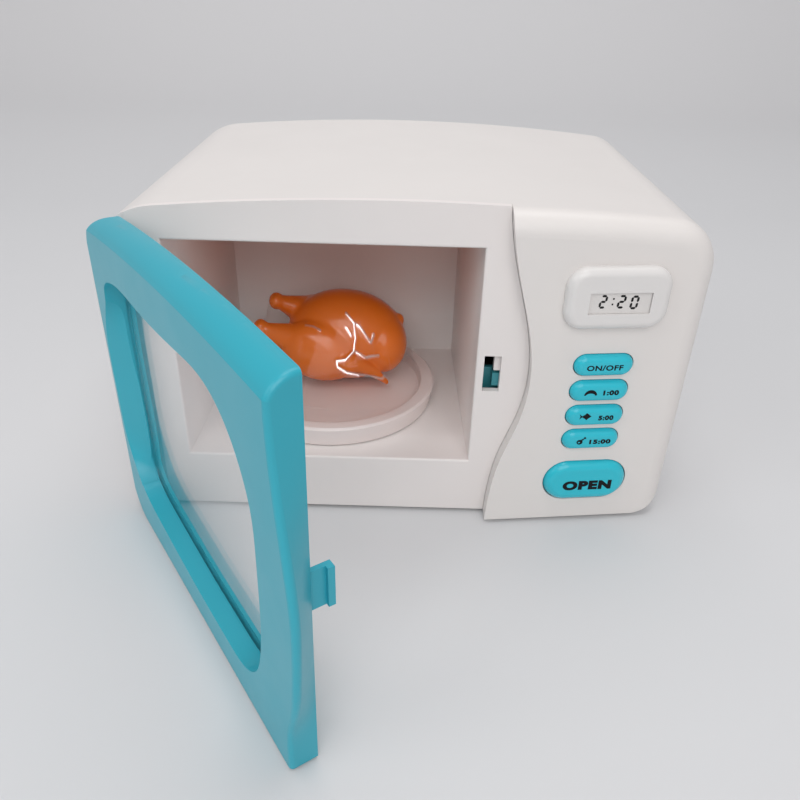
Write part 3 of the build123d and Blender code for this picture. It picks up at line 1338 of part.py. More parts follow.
with BuildPart() as chicken:
    add(stacked_rings(FOOD_RINGS, 0))
    for start, end, thick, thin in FOOD_LIMBS:
        add(limb(start, end, thick, thin))
save(chicken.part, "chicken")

with BuildPart() as film_cover:
    add(stacked_rings(FILM_RINGS, 0))
    add(upright_post(*spindle_place, FILM_EDGE_RADIUS, (PLATE_RIM_Z, PLATE_RIM_Z + FILM_THICK)))
    add(stacked_rings(FILM_RINGS[:-1], FILM_THICK), mode=Mode.SUBTRACT)
save(film_cover.part, "film_cover")
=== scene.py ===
import math

import bmesh
import bpy
import numpy as np
from mathutils import Matrix, Vector
from mathutils.bvhtree import BVHTree


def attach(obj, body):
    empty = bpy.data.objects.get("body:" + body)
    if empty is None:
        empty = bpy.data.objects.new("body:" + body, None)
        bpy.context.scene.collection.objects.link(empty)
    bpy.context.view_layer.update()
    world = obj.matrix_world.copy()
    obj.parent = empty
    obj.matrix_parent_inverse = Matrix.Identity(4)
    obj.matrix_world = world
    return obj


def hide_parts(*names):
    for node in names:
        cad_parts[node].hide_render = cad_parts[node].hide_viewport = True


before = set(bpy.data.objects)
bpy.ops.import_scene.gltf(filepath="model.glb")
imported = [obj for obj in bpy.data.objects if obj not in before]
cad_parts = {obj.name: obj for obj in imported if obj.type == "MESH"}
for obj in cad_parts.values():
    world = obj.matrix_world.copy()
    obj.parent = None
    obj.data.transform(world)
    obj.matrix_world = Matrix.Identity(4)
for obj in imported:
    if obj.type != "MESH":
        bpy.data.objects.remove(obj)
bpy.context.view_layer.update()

MM = 0.001

# Camera: it stands in front of the toy and looks down into the cavity past the open door
CAMERA_PLACE = (1.131 * MM, -349.742 * MM, 222.889 * MM)
CAMERA_PITCH = 0.5414
CAMERA_YAW = 0.00087
CAMERA_ROLL = -0.0286
CAMERA_LENS = 33.70
SENSOR = 36.0

# Colours, linear
WHITE_SHELL = (0.765, 0.725, 0.70)
FRAME_WHITE = (0.82, 0.765, 0.745)
# Painted light: the cavity's paler colour stands for the light that falls into it
CAVITY_PAINTED_LIGHT = (0.94, 0.895, 0.875)
# Painted shade: dark warm colour for shade, tinted by the food, at the cavity's back and top
CAVITY_PAINTED_SHADE = (0.68, 0.34, 0.25)
DOOR_BLUE = (0.030, 0.385, 0.49)
DOOR_DEEP = (0.032, 0.38, 0.48)
BUTTON_BLUE = (0.028, 0.52, 0.64)
PRINT_BLACK = (0.006, 0.006, 0.008)
DIGIT_GREY = (0.012, 0.012, 0.013)
FLOOR_GREY = (0.66, 0.66, 0.67)
BACKDROP_GREY = (0.84, 0.83, 0.835)
SKY_GREY = (0.88, 0.88, 0.90)

# Span of the noise's values, how opaque clear plastic is edge-on, how the ink shines, and where the oven
# frame's painted light and painted shade and the colour of the floor change, in metres
NOISE_SPAN = (0.15, 0.85)
GLANCE_COVER = 0.85
INK_SHINE = 0.2
PAINTED_LIGHT_Y = (-0.077, -0.06)
PAINTED_SHADE_Y = (-0.074, 0.0)
PAINTED_SHADE_Z = (0.05, 0.125)
BACKDROP_Y = (0.4, 1.6)


# Materials
def new_material(name):
    """Empty node material with its shader"""
    material = bpy.data.materials.new(name)
    material.use_nodes = True
    tree = material.node_tree
    shader = tree.nodes["Principled BSDF"]
    return material, tree, shader


def object_coords(tree):
    """Coordinates in the shared frame, which the nodes keep in their vertices"""
    return tree.nodes.new("ShaderNodeTexCoord").outputs["Object"]


def noise(tree, scale, detail=2.0, roughness=0.5):
    """Noise over the object's own coordinates"""
    node = tree.nodes.new("ShaderNodeTexNoise")
    node.inputs["Scale"].default_value = scale
    node.inputs["Detail"].default_value = detail
    node.inputs["Roughness"].default_value = roughness
    tree.links.new(object_coords(tree), node.inputs["Vector"])
    return node.outputs["Fac"]


def place_along(tree, axis):
    """One of the object's own coordinates"""
    node = tree.nodes.new("ShaderNodeSeparateXYZ")
    tree.links.new(object_coords(tree), node.inputs["Vector"])
    return node.outputs[axis]


def ramp(tree, value, span, low=0.0, high=1.0):
    """Map a value from a span to a range"""
    node = tree.nodes.new("ShaderNodeMapRange")
    node.inputs["From Min"].default_value = span[0]
    node.inputs["From Max"].default_value = span[1]
    node.inputs["To Min"].default_value = low
    node.inputs["To Max"].default_value = high
    tree.links.new(value, node.inputs["Value"])
    return node.outputs["Result"]


def spread(tree, value, low, high):
    """Map a noise value to a range"""
    return ramp(tree, value, NOISE_SPAN, low, high)


def tint(tree, value, first, second):
    """Blend by a value of two colours, each a plain one or a node's output"""
    node = tree.nodes.new("ShaderNodeMix")
    node.data_type = "RGBA"
    tree.links.new(value, node.inputs["Factor"])
    for colour, socket in ((first, node.inputs["A"]), (second, node.inputs["B"])):
        if isinstance(colour, tuple):
            socket.default_value = (*colour, 1)
        else:
            tree.links.new(colour, socket)
    return node.outputs["Result"]


def math_node(tree, operation, first, second):
    """One arithmetic step on a value"""
    node = tree.nodes.new("ShaderNodeMath")
    node.operation = operation
    tree.links.new(first, node.inputs[0])
    if isinstance(second, float):
        node.inputs[1].default_value = second
    else:
        tree.links.new(second, node.inputs[1])
    return node.outputs["Value"]


def shade(colour, factor):
    """Colour made lighter or darker"""
    return tuple(min(1.0, channel * factor) for channel in colour)


def bump(tree, shader, value, depth, strength):
    """Surface relief from a value, with its depth in metres"""
    node = tree.nodes.new("ShaderNodeBump")
    node.inputs["Strength"].default_value = strength
    node.inputs["Distance"].default_value = depth
    tree.links.new(value, node.inputs["Height"])
    tree.links.new(node.outputs["Normal"], shader.inputs["Normal"])


def plastic(name, colour, rough=(0.285, 0.37), grain=0.00002, scatter=0.0):
    """Moulded plastic: faint cloudiness, uneven polish and a slightly wavy skin"""
    material, tree, shader = new_material(name)
    clouds = tint(tree, noise(tree, 22.0, 3.0), shade(colour, 0.965), shade(colour, 1.02))
    tree.links.new(clouds, shader.inputs["Base Color"])
    tree.links.new(spread(tree, noise(tree, 60.0, 2.0), *rough), shader.inputs["Roughness"])
    shader.inputs["IOR"].default_value = 1.47
    if scatter:
        shader.inputs["Subsurface Weight"].default_value = scatter
        shader.inputs["Subsurface Radius"].default_value = (0.004, 0.003, 0.003)
    bump(tree, shader, noise(tree, 45.0, 1.0), grain, 0.5)
    return material


def steel(name, colour, rough=(0.29, 0.4)):
    """Plain metal, uneven in its tone and polish"""
    material, tree, shader = new_material(name)
    clouds = tint(tree, noise(tree, 60.0), shade(colour, 0.85), colour)
    tree.links.new(clouds, shader.inputs["Base Color"])
    tree.links.new(spread(tree, noise(tree, 400.0, 4.0), *rough), shader.inputs["Roughness"])
    shader.inputs["Metallic"].default_value = 1.0
    bump(tree, shader, noise(tree, 2600.0, 2.0), 0.00001, 0.4)
    return material


def clear(name, colour, rough, share, crest_glint=0.0):
    """Thin clear plastic: mirror-like by the angle it is seen at, and else see-through"""
    material, tree, shader = new_material(name)
    clouds = tint(tree, noise(tree, 30.0), colour, shade(colour, 1.05))
    tree.links.new(clouds, shader.inputs["Base Color"])
    tree.links.new(spread(tree, noise(tree, 55.0, 3.0), *rough), shader.inputs["Roughness"])
    shader.inputs["Metallic"].default_value = 1.0
    facing = tree.nodes.new("ShaderNodeLayerWeight")
    facing.inputs["Blend"].default_value = 0.5
    glance = math_node(tree, "POWER", facing.outputs["Facing"], 5.0)
    cover = ramp(tree, glance, (0.0, 1.0), share, GLANCE_COVER)
    if crest_glint:
        # Folds catch the light along their ridges, and there the film is also made a near-opaque mirror, in
        # patches: a painted highlight
        mark = tree.nodes.new("ShaderNodeAttribute")
        mark.attribute_name = "crest_glint"
        line = math_node(tree, "POWER", mark.outputs["Fac"], 3.0)
        patches = spread(tree, noise(tree, 260.0, 2.0), 0.35, crest_glint)
        cover = math_node(tree, "MAXIMUM", cover, math_node(tree, "MULTIPLY", line, patches))
    tree.links.new(cover, shader.inputs["Alpha"])
    return material


def oven_plastic(name, colour, painted_light, shade_colour):
    """Shell plastic: paler in the cavity as painted light, with a warm painted shade from the food high at
    its back
    """
    material = plastic(name, colour, (0.30, 0.42))
    tree = material.node_tree
    shader = tree.nodes["Principled BSDF"]
    surface = shader.inputs["Base Color"].links[0].from_socket
    depth, height = place_along(tree, "Y"), place_along(tree, "Z")
    # Painted light: the cavity is coloured paler than the frame's face, for the light falling into it
    lit_cavity = tint(tree, ramp(tree, depth, PAINTED_LIGHT_Y), surface, painted_light)
    # Painted shade: a dark warm colour grows towards the cavity's back and top, for shade tinted by the
    # food
    painted_shade = math_node(tree, "MULTIPLY", ramp(tree, depth, PAINTED_SHADE_Y), ramp(tree, height, PAINTED_SHADE_Z))
    tree.links.new(tint(tree, painted_shade, lit_cavity, shade_colour), shader.inputs["Base Color"])
    return material


shell = plastic("shell_white", WHITE_SHELL, (0.285, 0.36))
oven_shell = oven_plastic("oven_white", FRAME_WHITE, CAVITY_PAINTED_LIGHT, CAVITY_PAINTED_SHADE)
door_plastic = plastic("door_turquoise", DOOR_BLUE, (0.285, 0.37))
door_inner = plastic("door_inner_turquoise", DOOR_DEEP, (0.29, 0.4))
button_plastic = plastic("button_turquoise", BUTTON_BLUE, (0.17, 0.26))
base_plastic = plastic("base_plastic", (0.62, 0.60, 0.61), (0.45, 0.6), 0.00004)
grey_plastic = plastic("inner_plastic", (0.66, 0.66, 0.67), (0.4, 0.5))
gear_plastic = plastic("gear_plastic", (0.74, 0.72, 0.62), (0.35, 0.5))
bright_steel = steel("bright_steel", (0.62, 0.62, 0.64))
dark_steel = steel("dark_steel", (0.10, 0.10, 0.11), (0.4, 0.6))
brass = steel("pinion_brass", (0.60, 0.42, 0.16))
board_green = plastic("board_green", (0.02, 0.12, 0.05), (0.3, 0.5))
switch_black = plastic("switch_black", (0.02, 0.02, 0.02), (0.4, 0.5))
cell_wrap = plastic("cell_wrap", (0.05, 0.16, 0.12), (0.3, 0.4))
bezel_white = plastic("bezel_white", (0.74, 0.715, 0.70), (0.16, 0.24), 0.00001)
display_grey = plastic("display_grey", (0.72, 0.69, 0.67), (0.3, 0.4), 0.00001)
lever_teal = plastic("lever_teal", (0.04, 0.26, 0.30), (0.3, 0.4))
plate_white = plastic("plate_white", (0.86, 0.765, 0.74), (0.16, 0.26), 0.00001)
chicken_orange = plastic("chicken_orange", (0.80, 0.17, 0.012), (0.18, 0.265), 0.00004, 0.08)
window_clear = clear("window_clear", (0.9, 0.93, 0.94), (0.03, 0.08), 0.06)
lamp_clear = clear("lamp_clear", (0.9, 0.88, 0.8), (0.05, 0.1), 0.4)
film_clear = clear("film_clear", (0.95, 0.95, 0.95), (0.04, 0.16), 0.018, 0.95)
print_black = plastic("print_black", PRINT_BLACK, (0.45, 0.6), 0.00001)
digit_black = plastic("digit_black", DIGIT_GREY, (0.5, 0.6), 0.00001)
for ink in (print_black, digit_black):
    ink.node_tree.nodes["Principled BSDF"].inputs["Specular IOR Level"].default_value = INK_SHINE

LOOKS = {
    shell: ["housing", "rear_cover"],
    oven_shell: ["oven_frame"],
    door_plastic: ["door_frame"],
    door_inner: ["door_inner_frame"],
    window_clear: ["door_window"],
    button_plastic: ["button_on_off", "button_1_minute", "button_5_minutes", "button_15_minutes",
                     "button_open"],
    bezel_white: ["display_bezel"],
    display_grey: ["display"],
    lever_teal: ["latch_lever"],
    base_plastic: ["base_plate", "battery_door"],
    grey_plastic: ["battery_tray", "gearbox_base", "gearbox_cover", "drive_spindle"],
    gear_plastic: ["spindle_gear", "idler_gear"],
    bright_steel: ["cover_screws", "base_screws", "battery_door_screw", "board_screws", "gearbox_screws",
                   "hinge_pins", "idler_pin", "latch_clip", "motor", "battery_contacts"],
    dark_steel: ["speaker"],
    brass: ["motor_pinion"],
    board_green: ["circuit_board"],
    switch_black: ["switches"],
    cell_wrap: ["batteries"],
    plate_white: ["turntable_plate"],
    lamp_clear: ["lamp"],
    chicken_orange: ["chicken"],
    film_clear: ["film_cover"],
}
for look, names in LOOKS.items():
    for name in names:
        cad_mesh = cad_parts[name].data
        cad_mesh.materials.clear()
        cad_mesh.materials.append(look)


# Pieces built here, in millimetres
LIMB_STEPS = 14
SKIN_VOXEL = 0.8
SKIN_ROUNDS = 5


def finish_piece(name, mesh, material, body, nodes=()):
    """Object with its material that rides on a body and stands for the named nodes"""
    piece = bpy.data.objects.new(name, mesh)
    bpy.context.scene.collection.objects.link(piece)
    mesh.materials.clear()
    mesh.materials.append(material)
    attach(piece, body)
    if nodes:
        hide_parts(*nodes)
    return piece


def surface_of(node):
    """Search tree over the surface of a CAD node"""
    form = bmesh.new()
    form.from_mesh(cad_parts[node].data)
    tree = BVHTree.FromBMesh(form)
    form.free()
    return tree


def add_ball(form, centre, radii, turn=0.0):
    """Ellipsoid, turned about Y by turn degrees"""
    matrix = Matrix.Translation(Vector(centre) * MM)
    matrix = matrix @ Matrix.Rotation(math.radians(turn), 4, "Y")
    matrix = matrix @ Matrix.Diagonal((*(Vector(radii) * MM), 1))
    bmesh.ops.create_icosphere(form, subdivisions=4, radius=1, matrix=matrix)


def add_limb(form, start, end, thick, thin, bend=0.0):
    """Row of balls from a thick end to a thin end, bowed upwards by bend"""
    for step in range(LIMB_STEPS + 1):
        share = step / LIMB_STEPS
        place = Vector(start).lerp(Vector(end), share)
        place.z += bend * math.sin(math.pi * share)
        radius = thick + (thin - thick) * share ** 0.8
        add_ball(form, place, (radius, radius, radius))


def melted(form):
    """One skin over overlapping balls, smoothed a little so that the creases stay"""
    rough = bpy.data.meshes.new("melt")
    form.to_mesh(rough)
    form.free()
    holder = bpy.data.objects.new("melt", rough)
    bpy.context.scene.collection.objects.link(holder)
    skin = holder.modifiers.new("skin", "REMESH")
    skin.mode = "VOXEL"
    skin.voxel_size = SKIN_VOXEL * MM
    soften = holder.modifiers.new("soften", "SMOOTH")
    soften.factor = 0.5
    soften.iterations = SKIN_ROUNDS
    bpy.context.view_layer.update()
    shown = holder.evaluated_get(bpy.context.evaluated_depsgraph_get())
    mesh = bpy.data.meshes.new_from_object(shown)
    bpy.data.objects.remove(holder)
    bpy.data.meshes.remove(rough)
    mesh.shade_smooth()
    return mesh


def make_chicken():
    """Play chicken on its back: body, two drumsticks, a wing across the front and the tail"""
    form = bmesh.new()
    add_ball(form, (-26, -14, 58.5), (29, 20, 22.6), 6)
    add_ball(form, (-8, -17, 56), (12, 15, 15))
    add_ball(form, (-37, -27, 56), (20, 12.5, 15.5), 12)
    add_limb(form, (-46, -27, 60), (-65, -26.5, 66), 9.5, 3.2)
    add_ball(form, (-66, -26.5, 66.5), (3.6, 4.4, 4.4))
    add_limb(form, (-42, -8, 66), (-59, -13, 74.5), 10, 3.2)
    add_ball(form, (-60, -13.5, 75), (3.6, 4.4, 4.2))
    add_limb(form, (-24, -35, 54), (-5.5, -29.5, 40.5), 5.6, 1.4, 2.0)
    add_ball(form, (-1, -12, 66), (3.4, 3.4, 3.4))
    return finish_piece("chicken_skin", melted(form), chicken_orange, "turntable", ["chicken"])


# Film, in millimetres: where it is held, what it lies on, and its folds as heights and routes
FILM_CENTRE = (-32.0, -21.5)
FILM_RADIUS = 46.5
FILM_HELD_WIDTH = 3.5
FILM_RIM_Z = 39.6
FILM_DISH_Z = 36.0
FILM_LIFT = 0.5
FILM_ABOVE_Z = 140
FILM_LOAD = 0.022
FILM_GRID = 201
FILM_ROUNDS = 700
FOLD_WIDE = 0.75
FOLD_FULL = 0.5
FILM_FOLDS = [
    (0.5, [(-43.9, -31.2), (-40.4, -32.2), (-36.7, -33.9)]),
    (0.8, [(-25.2, -27.4), (-21.3, -30.1), (-20.3, -33.6), (-20.9, -37.6), (-24.4, -40.7), (-28.7, -41.8)]),
    (0.6, [(-21.3, -30.1), (-18.1, -30.5), (-13.1, -33.0), (-11.8, -30.4)]),
    (0.6, [(-20.3, -37.4), (-15.1, -37.9), (-9.3, -35.4)]),
    (0.5, [(-24.9, -31.5), (-22.4, -33.3)]),
    (0.5, [(-28.7, -41.8), (-28.0, -43.4), (-23.7, -44.5), (-18.1, -44.2), (-7.4, -42.2), (-6.2, -40.7)]),
    (0.3, [(-43.0, -57.7), (-37.0, -58.9), (-30.9, -59.2)]),
    (0.3, [(-9.6, -55.4), (-5.9, -54.2)]),
    (0.25, [(-60.0, -44.0), (-54.0, -38.0)]),
    (0.25, [(1.5, -44.0), (-3.0, -38.0), (-4.5, -34.0)]),
    (0.25, [(-2.0, 6.0), (-8.0, 1.0)]),
    (0.25, [(-62.0, 2.0), (-56.0, -3.0)]),
]


def resample(field, count):
    """Square field at another resolution"""
    size = field.shape[0]
    places = np.linspace(0, size - 1, count)
    base = np.minimum(places.astype(int), size - 2)
    part = places - base
    rows = field[base] * (1 - part)[:, None] + field[base + 1] * part[:, None]
    return rows[:, base] * (1 - part)[None, :] + rows[:, base + 1] * part[None, :]


def film_obstacle(food, count):
    """Heights that the film can't sink below, over a square grid"""
    tree = BVHTree.FromPolygons([v.co for v in food.vertices], [p.vertices for p in food.polygons])
    places = np.linspace(-FILM_RADIUS, FILM_RADIUS, count)
    heights = np.full((count, count), FILM_DISH_Z)
    for row, dy in enumerate(places):
        for column, dx in enumerate(places):
            start = Vector((FILM_CENTRE[0] + dx, FILM_CENTRE[1] + dy, FILM_ABOVE_Z)) * MM
            hit = tree.ray_cast(start, Vector((0, 0, -1)))[0]
            if hit is not None:
                heights[row, column] = hit.z / MM + FILM_LIFT
    return heights


def pulled_film(obstacle):
    """Film stretched over the obstacle, drawn down by an even load and held at the rim"""
    count = obstacle.shape[0]
    field = None
    for part in (4, 2, 1):
        size = (count - 1) // part + 1
        under = resample(obstacle, size)
        spacing = 2 * FILM_RADIUS / (size - 1)
        places = np.linspace(-FILM_RADIUS, FILM_RADIUS, size)
        reach = np.hypot(places[:, None], places[None, :])
        held = reach > FILM_RADIUS - FILM_HELD_WIDTH
        if field is None:
            field = np.maximum(under, FILM_RIM_Z)
        else:
            field = resample(field, size)
        for step in range(FILM_ROUNDS):
            inner = (field[:-2, 1:-1] + field[2:, 1:-1] + field[1:-1, :-2] + field[1:-1, 2:]) / 4
            inner = inner - FILM_LOAD * spacing * spacing / 4
            field[1:-1, 1:-1] = np.maximum(inner, under[1:-1, 1:-1])
            field[held] = FILM_RIM_Z
    return field


def fold_at(x, y):
    """Height of the film's folds at a place, in millimetres, and how near it is to a fold's top, for the
    painted highlight
    """
    height = 0.0
    crest_glint = 0.0
    for tall, points in FILM_FOLDS:
        nearest = 1e9
        for (x0, y0), (x1, y1) in zip(points, points[1:]):
            along_x, along_y = x1 - x0, y1 - y0
            share = ((x - x0) * along_x + (y - y0) * along_y) / (along_x ** 2 + along_y ** 2)
            share = min(1, max(0, share))
            nearest = min(nearest, math.hypot(x - x0 - share * along_x, y - y0 - share * along_y))
        near = math.exp(-(nearest / FOLD_WIDE) ** 2)
        height = max(height, tall * near)
        crest_glint = max(crest_glint, near * min(1, tall / FOLD_FULL))
    return height, crest_glint


def make_film(food):
    """Clear film over the food, with its folds, as one thin sheet"""
    count = FILM_GRID
    field = pulled_film(film_obstacle(food, count))
    places = np.linspace(-FILM_RADIUS, FILM_RADIUS, count)
    form = bmesh.new()
    crest_glints = []
    grid = {}
    for row, dy in enumerate(places):
        for column, dx in enumerate(places):
            if math.hypot(dx, dy) > FILM_RADIUS:
                continue
            x, y = FILM_CENTRE[0] + dx, FILM_CENTRE[1] + dy
            height, crest_glint = fold_at(x, y)
            crest_glints.append(crest_glint)
            z = field[row, column] + height
            grid[row, column] = form.verts.new(Vector((x, y, z)) * MM)
    for row in range(count - 1):
        for column in range(count - 1):
            corners = [(row, column), (row, column + 1), (row + 1, column + 1), (row + 1, column)]
            if all(corner in grid for corner in corners):
                form.faces.new([grid[corner] for corner in corners])
    mesh = bpy.data.meshes.new("film")
    form.to_mesh(mesh)
    form.free()
    mesh.shade_smooth()
    # Painted highlight along the folds' tops, kept per vertex
    mesh.attributes.new("crest_glint", "FLOAT", "POINT").data.foreach_set("value", crest_glints)
    return finish_piece("film_sheet", mesh, film_clear, "turntable", ["film_cover"])


# Printing, in millimetres
PRINT_LIFT = 0.05
PRINT_START_Y = -200
SEGMENT_SLANT = 0.09
SEGMENT_HALF = 0.2
SEGMENT_GAP = 0.04


def print_on(name, outlines, box, node, material, body):
    """Flat outlines, fitted to a box of the front view and laid on the surface of a node"""
    tree = surface_of(node)
    every = [point for points, _ in outlines for point in points]
    low = [min(point[axis] for point in every) for axis in (0, 1)]
    high = [max(point[axis] for point in every) for axis in (0, 1)]
    form = bmesh.new()
    for points, faces in outlines:
        placed = []
        for point in points:
            x = box[0] + (box[2] - box[0]) * (point[0] - low[0]) / (high[0] - low[0])
            z = box[1] + (box[3] - box[1]) * (point[1] - low[1]) / (high[1] - low[1])
            hit = tree.ray_cast(Vector((x, PRINT_START_Y, z)) * MM, Vector((0, 1, 0)))[0]
            placed.append(form.verts.new((hit.x, hit.y - PRINT_LIFT * MM, hit.z)))
        for face in faces:
            form.faces.new([placed[index] for index in face])
    mesh = bpy.data.meshes.new(name)
    form.to_mesh(mesh)
    form.free()
    return finish_piece(name, mesh, material, body)


def word(text, weight, spacing):
    """Outline of a word, with its faces"""
    curve = bpy.data.curves.new("word", "FONT")
    curve.body = text
    curve.offset = weight
    curve.space_character = spacing
    curve.resolution_u = 6
    holder = bpy.data.objects.new("word", curve)
    bpy.context.scene.collection.objects.link(holder)
    bpy.context.view_layer.update()
    shown = holder.evaluated_get(bpy.context.evaluated_depsgraph_get())
    mesh = bpy.data.meshes.new_from_object(shown)
    outline = ([(v.co.x, v.co.y) for v in mesh.vertices], [tuple(p.vertices) for p in mesh.polygons])
    bpy.data.objects.remove(holder)
    bpy.data.curves.remove(curve)
    bpy.data.meshes.remove(mesh)
    return [outline]


def loop(points):
    """One closed outline as a single face"""
    return (points, [tuple(range(len(points)))])


def ellipse(x, y, width, height, start=0.0, end=360.0, steps=24):
    """Points round part of an ellipse"""
    angles = [math.radians(start + (end - start) * step / steps) for step in range(steps + 1)]
    points = [(x + width * math.cos(angle), y + height * math.sin(angle)) for angle in angles]
    return points[:-1] if end - start >= 360 else points


def croissant():
    """Curved roll with pointed ends"""
    outer = ellipse(0, 0, 1.0, 0.86, 8, 172)
    inner = ellipse(0, 0.02, 0.72, 0.36, 172, 8)
    strip = list(zip(outer, reversed(inner)))
    points = [point for pair in strip for point in pair]
    faces = [(2 * step, 2 * step + 1, 2 * step + 3, 2 * step + 2) for step in range(len(strip) - 1)]
    return [(points, faces)]


def fish():
    """Fish with fins, facing right"""
    back = [(-0.5, 0.1), (0.1, 0.5), (0.55, 0.42), (1.0, 0.05)]
    belly = [(0.55, -0.35), (0.1, -0.5), (-0.5, -0.1)]
    body = loop(back + belly)
    tail = loop([(-0.4, 0), (-0.95, 0.5), (-0.8, 0), (-0.95, -0.5)])
    top = loop([(-0.1, 0.36), (0.2, 0.72), (0.6, 0.4)])
    under = loop([(0.0, -0.42), (0.25, -0.7), (0.55, -0.34)])
    return [body, tail, top, under]


def drumstick():
    """Drumstick, with its bone up on the right and a light patch in the meat"""
    outer = ellipse(-0.3, -0.22, 0.66, 0.56)
    inner = ellipse(-0.42, -0.3, 0.24, 0.17)
    ring = (outer + inner, [])
    for step in range(len(outer)):
        after = (step + 1) % len(outer)
        ring[1].append((step, after, after + len(outer), step + len(outer)))
    flesh = loop([(-0.1, 0.34), (0.3, 0.12), (0.68, 0.5), (0.5, 0.66)])
    bone = loop([(0.45, 0.6), (0.62, 0.42), (0.85, 0.66), (0.7, 0.82)])
    knob = loop(ellipse(0.88, 0.66, 0.15, 0.15))
    knuckle = loop(ellipse(0.7, 0.84, 0.15, 0.15))
    return [ring, flesh, bone, knob, knuckle]


def bar(x0, y0, x1, y1, half):
    """One pointed bar of a digit"""
    length = math.hypot(x1 - x0, y1 - y0)
    ux, uy = (x1 - x0) / length, (y1 - y0) / length
    points = [
        (x0, y0), (x0 + (ux - uy) * half, y0 + (uy + ux) * half),
        (x1 - (ux + uy) * half, y1 - (uy - ux) * half), (x1, y1),
        (x1 - (ux - uy) * half, y1 - (uy + ux) * half), (x0 + (ux + uy) * half, y0 + (uy - ux) * half),
    ]
    return loop([(x + SEGMENT_SLANT * y, y) for x, y in points])


def digit(bars):
    """Seven-bar digit, with its bars named a to g from the top"""
    gap = SEGMENT_GAP
    ends = {
        "a": (gap, 2, 1 - gap, 2), "b": (1, 2 - gap, 1, 1 + gap), "c": (1, 1 - gap, 1, gap),
        "d": (gap, 0, 1 - gap, 0), "e": (0, 1 - gap, 0, gap), "f": (0, 2 - gap, 0, 1 + gap),
        "g": (gap, 1, 1 - gap, 1),
    }
    return [bar(*ends[letter], SEGMENT_HALF) for letter in bars]


def colon():
    """Two small slanted squares"""
    squares = []
    for y in (0.55, 1.35):
        square = [(0, y), (0.26, y), (0.26, y + 0.26), (0, y + 0.26)]
        squares.append(loop([(px + SEGMENT_SLANT * py, py) for px, py in square]))
    return squares


def make_printing():
    """Words, numbers and signs on the buttons, and the clock's digits"""
    on_off = ("button_on_off", print_black, "on_off_key")
    one = ("button_1_minute", print_black, "one_minute_key")
    five = ("button_5_minutes", print_black, "five_minute_key")
    fifteen = ("button_15_minutes", print_black, "fifteen_minute_key")
    big = ("button_open", print_black, "open_key")
    screen = ("display", digit_black, "oven")
    prints = [
        ("print_on_off", word("ON/OFF", 0.03, 1.08), (76.1, 79.3, 91.1, 81.75), on_off),
        ("print_croissant", croissant(), (76.8, 67.7, 82.3, 70.4), one),
        ("print_1_00", word("1:00", 0.06, 1.15), (84.8, 67.65, 91.4, 70.05), one),
        ("print_fish", fish(), (76.5, 55.8, 81.6, 59.3), five),
        ("print_5_00", word("5:00", 0.06, 1.15), (84.7, 55.45, 91.2, 57.85), five),
        ("print_drumstick", drumstick(), (77.1, 43.5, 81.1, 47.3), fifteen),
        ("print_15_00", word("15:00", 0.06, 1.15), (82.7, 43.5, 92.0, 45.8), fifteen),
        ("print_open", word("OPEN", 0.07, 1.16), (74.3, 18.9, 96.3, 23.9), big),
        ("digit_hour", digit("abged"), (76.1, 107.0, 79.3, 112.6), screen),
        ("digit_colon", colon(), (81.1, 108.3, 82.0, 111.3), screen),
        ("digit_tens", digit("abged"), (83.2, 106.9, 86.7, 112.5), screen),
        ("digit_ones", digit("abcdef"), (88.3, 106.5, 91.8, 112.2), screen),
    ]
    for name, outlines, box, where in prints:
        print_on(name, outlines, box, *where)


# Camera
def make_camera():
    """Camera from its place and angles"""
    forward = Vector((
        math.sin(CAMERA_YAW) * math.cos(CAMERA_PITCH),
        math.cos(CAMERA_YAW) * math.cos(CAMERA_PITCH),
        -math.sin(CAMERA_PITCH),
    ))
    level_right = Vector((math.cos(CAMERA_YAW), -math.sin(CAMERA_YAW), 0))
    level_down = forward.cross(level_right)
    turn_cos = math.cos(CAMERA_ROLL)
    turn_sin = math.sin(CAMERA_ROLL)
    right = level_right * turn_cos + level_down * turn_sin
    down = level_down * turn_cos - level_right * turn_sin
    data = bpy.data.cameras.new("camera")
    data.sensor_width = SENSOR
    data.lens = CAMERA_LENS
    data.clip_start = 0.01
    data.clip_end = 20
    camera = bpy.data.objects.new("camera", data)
    bpy.context.scene.collection.objects.link(camera)
    axes = Matrix((right, -down, -forward)).transposed()
    camera.matrix_world = Matrix.Translation(CAMERA_PLACE) @ axes.to_4x4()
    bpy.context.scene.camera = camera


# Floor, backdrop and light, in metres and watts
FLOOR_HALF_WIDTH = 3.0
FLOOR_FRONT_Y = -2.0
BEND_START_Y = 0.9
BEND_RADIUS = 0.8
BEND_STEPS = 16
WALL_TOP_Z = 2.6
SKY_STRENGTH = 0.45
LAMPS = [
    ("soft_box_top", (0.1, 0.25, 1.5), (0, 0, 0.05), (1.2, 0.9), 6.4),
    ("soft_box_front", (0.0, -1.35, 1.25), (0, 0, 0.05), (1.4, 0.9), 9.8),
    ("soft_box_low", (0.15, -1.5, 0.62), (0, 0, 0.06), (0.9, 0.4), 2.2),
    ("soft_box_left", (-1.4, -0.9, 1.2), (0, 0, 0.05), (1.0, 1.0), 5),
    ("ceiling_lamp", (-0.05, -0.35, 1.6), (0, 0, 0.05), (0.28, 0.2), 2.5),
]


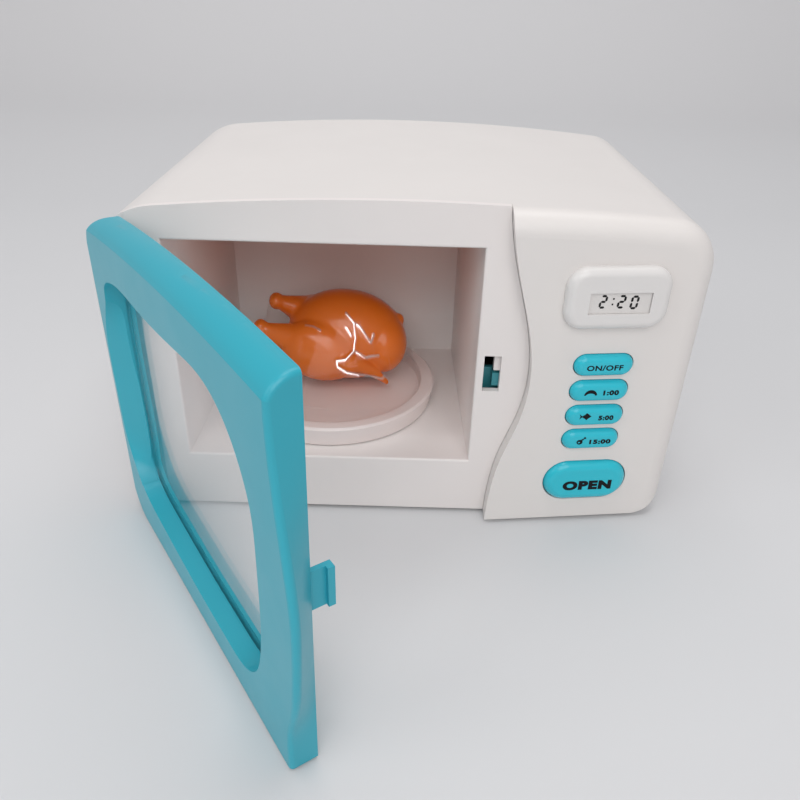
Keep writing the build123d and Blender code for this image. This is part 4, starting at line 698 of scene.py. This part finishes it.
def make_floor():
    """Pale sweep: a floor that curves up into a backdrop behind the toy"""
    profile = [(FLOOR_FRONT_Y, 0.0), (BEND_START_Y, 0.0)]
    for step in range(1, BEND_STEPS + 1):
        angle = math.radians(90 * step / BEND_STEPS)
        rise = BEND_RADIUS * (1 - math.cos(angle))
        profile.append((BEND_START_Y + BEND_RADIUS * math.sin(angle), rise))
    profile.append((BEND_START_Y + BEND_RADIUS, WALL_TOP_Z))
    mesh = bpy.data.meshes.new("floor")
    form = bmesh.new()
    sides = (-FLOOR_HALF_WIDTH, FLOOR_HALF_WIDTH)
    rows = [[form.verts.new((x, y, z)) for x in sides] for y, z in profile]
    for near, far in zip(rows, rows[1:]):
        form.faces.new((near[0], near[1], far[1], far[0]))
    form.to_mesh(mesh)
    form.free()
    mesh.shade_smooth()
    floor = bpy.data.objects.new("floor", mesh)
    bpy.context.scene.collection.objects.link(floor)
    material, tree, shader = new_material("floor_paper")
    paper = tint(tree, noise(tree, 1.2), shade(FLOOR_GREY, 0.98), FLOOR_GREY)
    sweep = tint(tree, ramp(tree, place_along(tree, "Y"), BACKDROP_Y), paper, BACKDROP_GREY)
    tree.links.new(sweep, shader.inputs["Base Color"])
    shader.inputs["Roughness"].default_value = 0.7
    mesh.materials.append(material)


def area_light(name, place, target, size, power):
    """Soft light at a place, turned to a target"""
    data = bpy.data.lights.new(name, "AREA")
    data.shape = "RECTANGLE"
    data.size = size[0]
    data.size_y = size[1]
    data.energy = power
    light = bpy.data.objects.new(name, data)
    bpy.context.scene.collection.objects.link(light)
    direction = Vector(target) - Vector(place)
    turn = direction.to_track_quat("-Z", "Y").to_matrix().to_4x4()
    light.matrix_world = Matrix.Translation(place) @ turn


def make_light():
    """Plain studio light: soft boxes overhead, in front and on the left, and a small bright lamp"""
    for lamp in LAMPS:
        area_light(*lamp)
    world = bpy.data.worlds.new("studio")
    bpy.context.scene.world = world
    world.use_nodes = True
    background = world.node_tree.nodes["Background"]
    background.inputs["Color"].default_value = (*SKY_GREY, 1)
    background.inputs["Strength"].default_value = SKY_STRENGTH


food = make_chicken()
make_film(food.data)
make_printing()
make_camera()
make_floor()
make_light()
bpy.context.scene.view_settings.view_transform = "Standard"
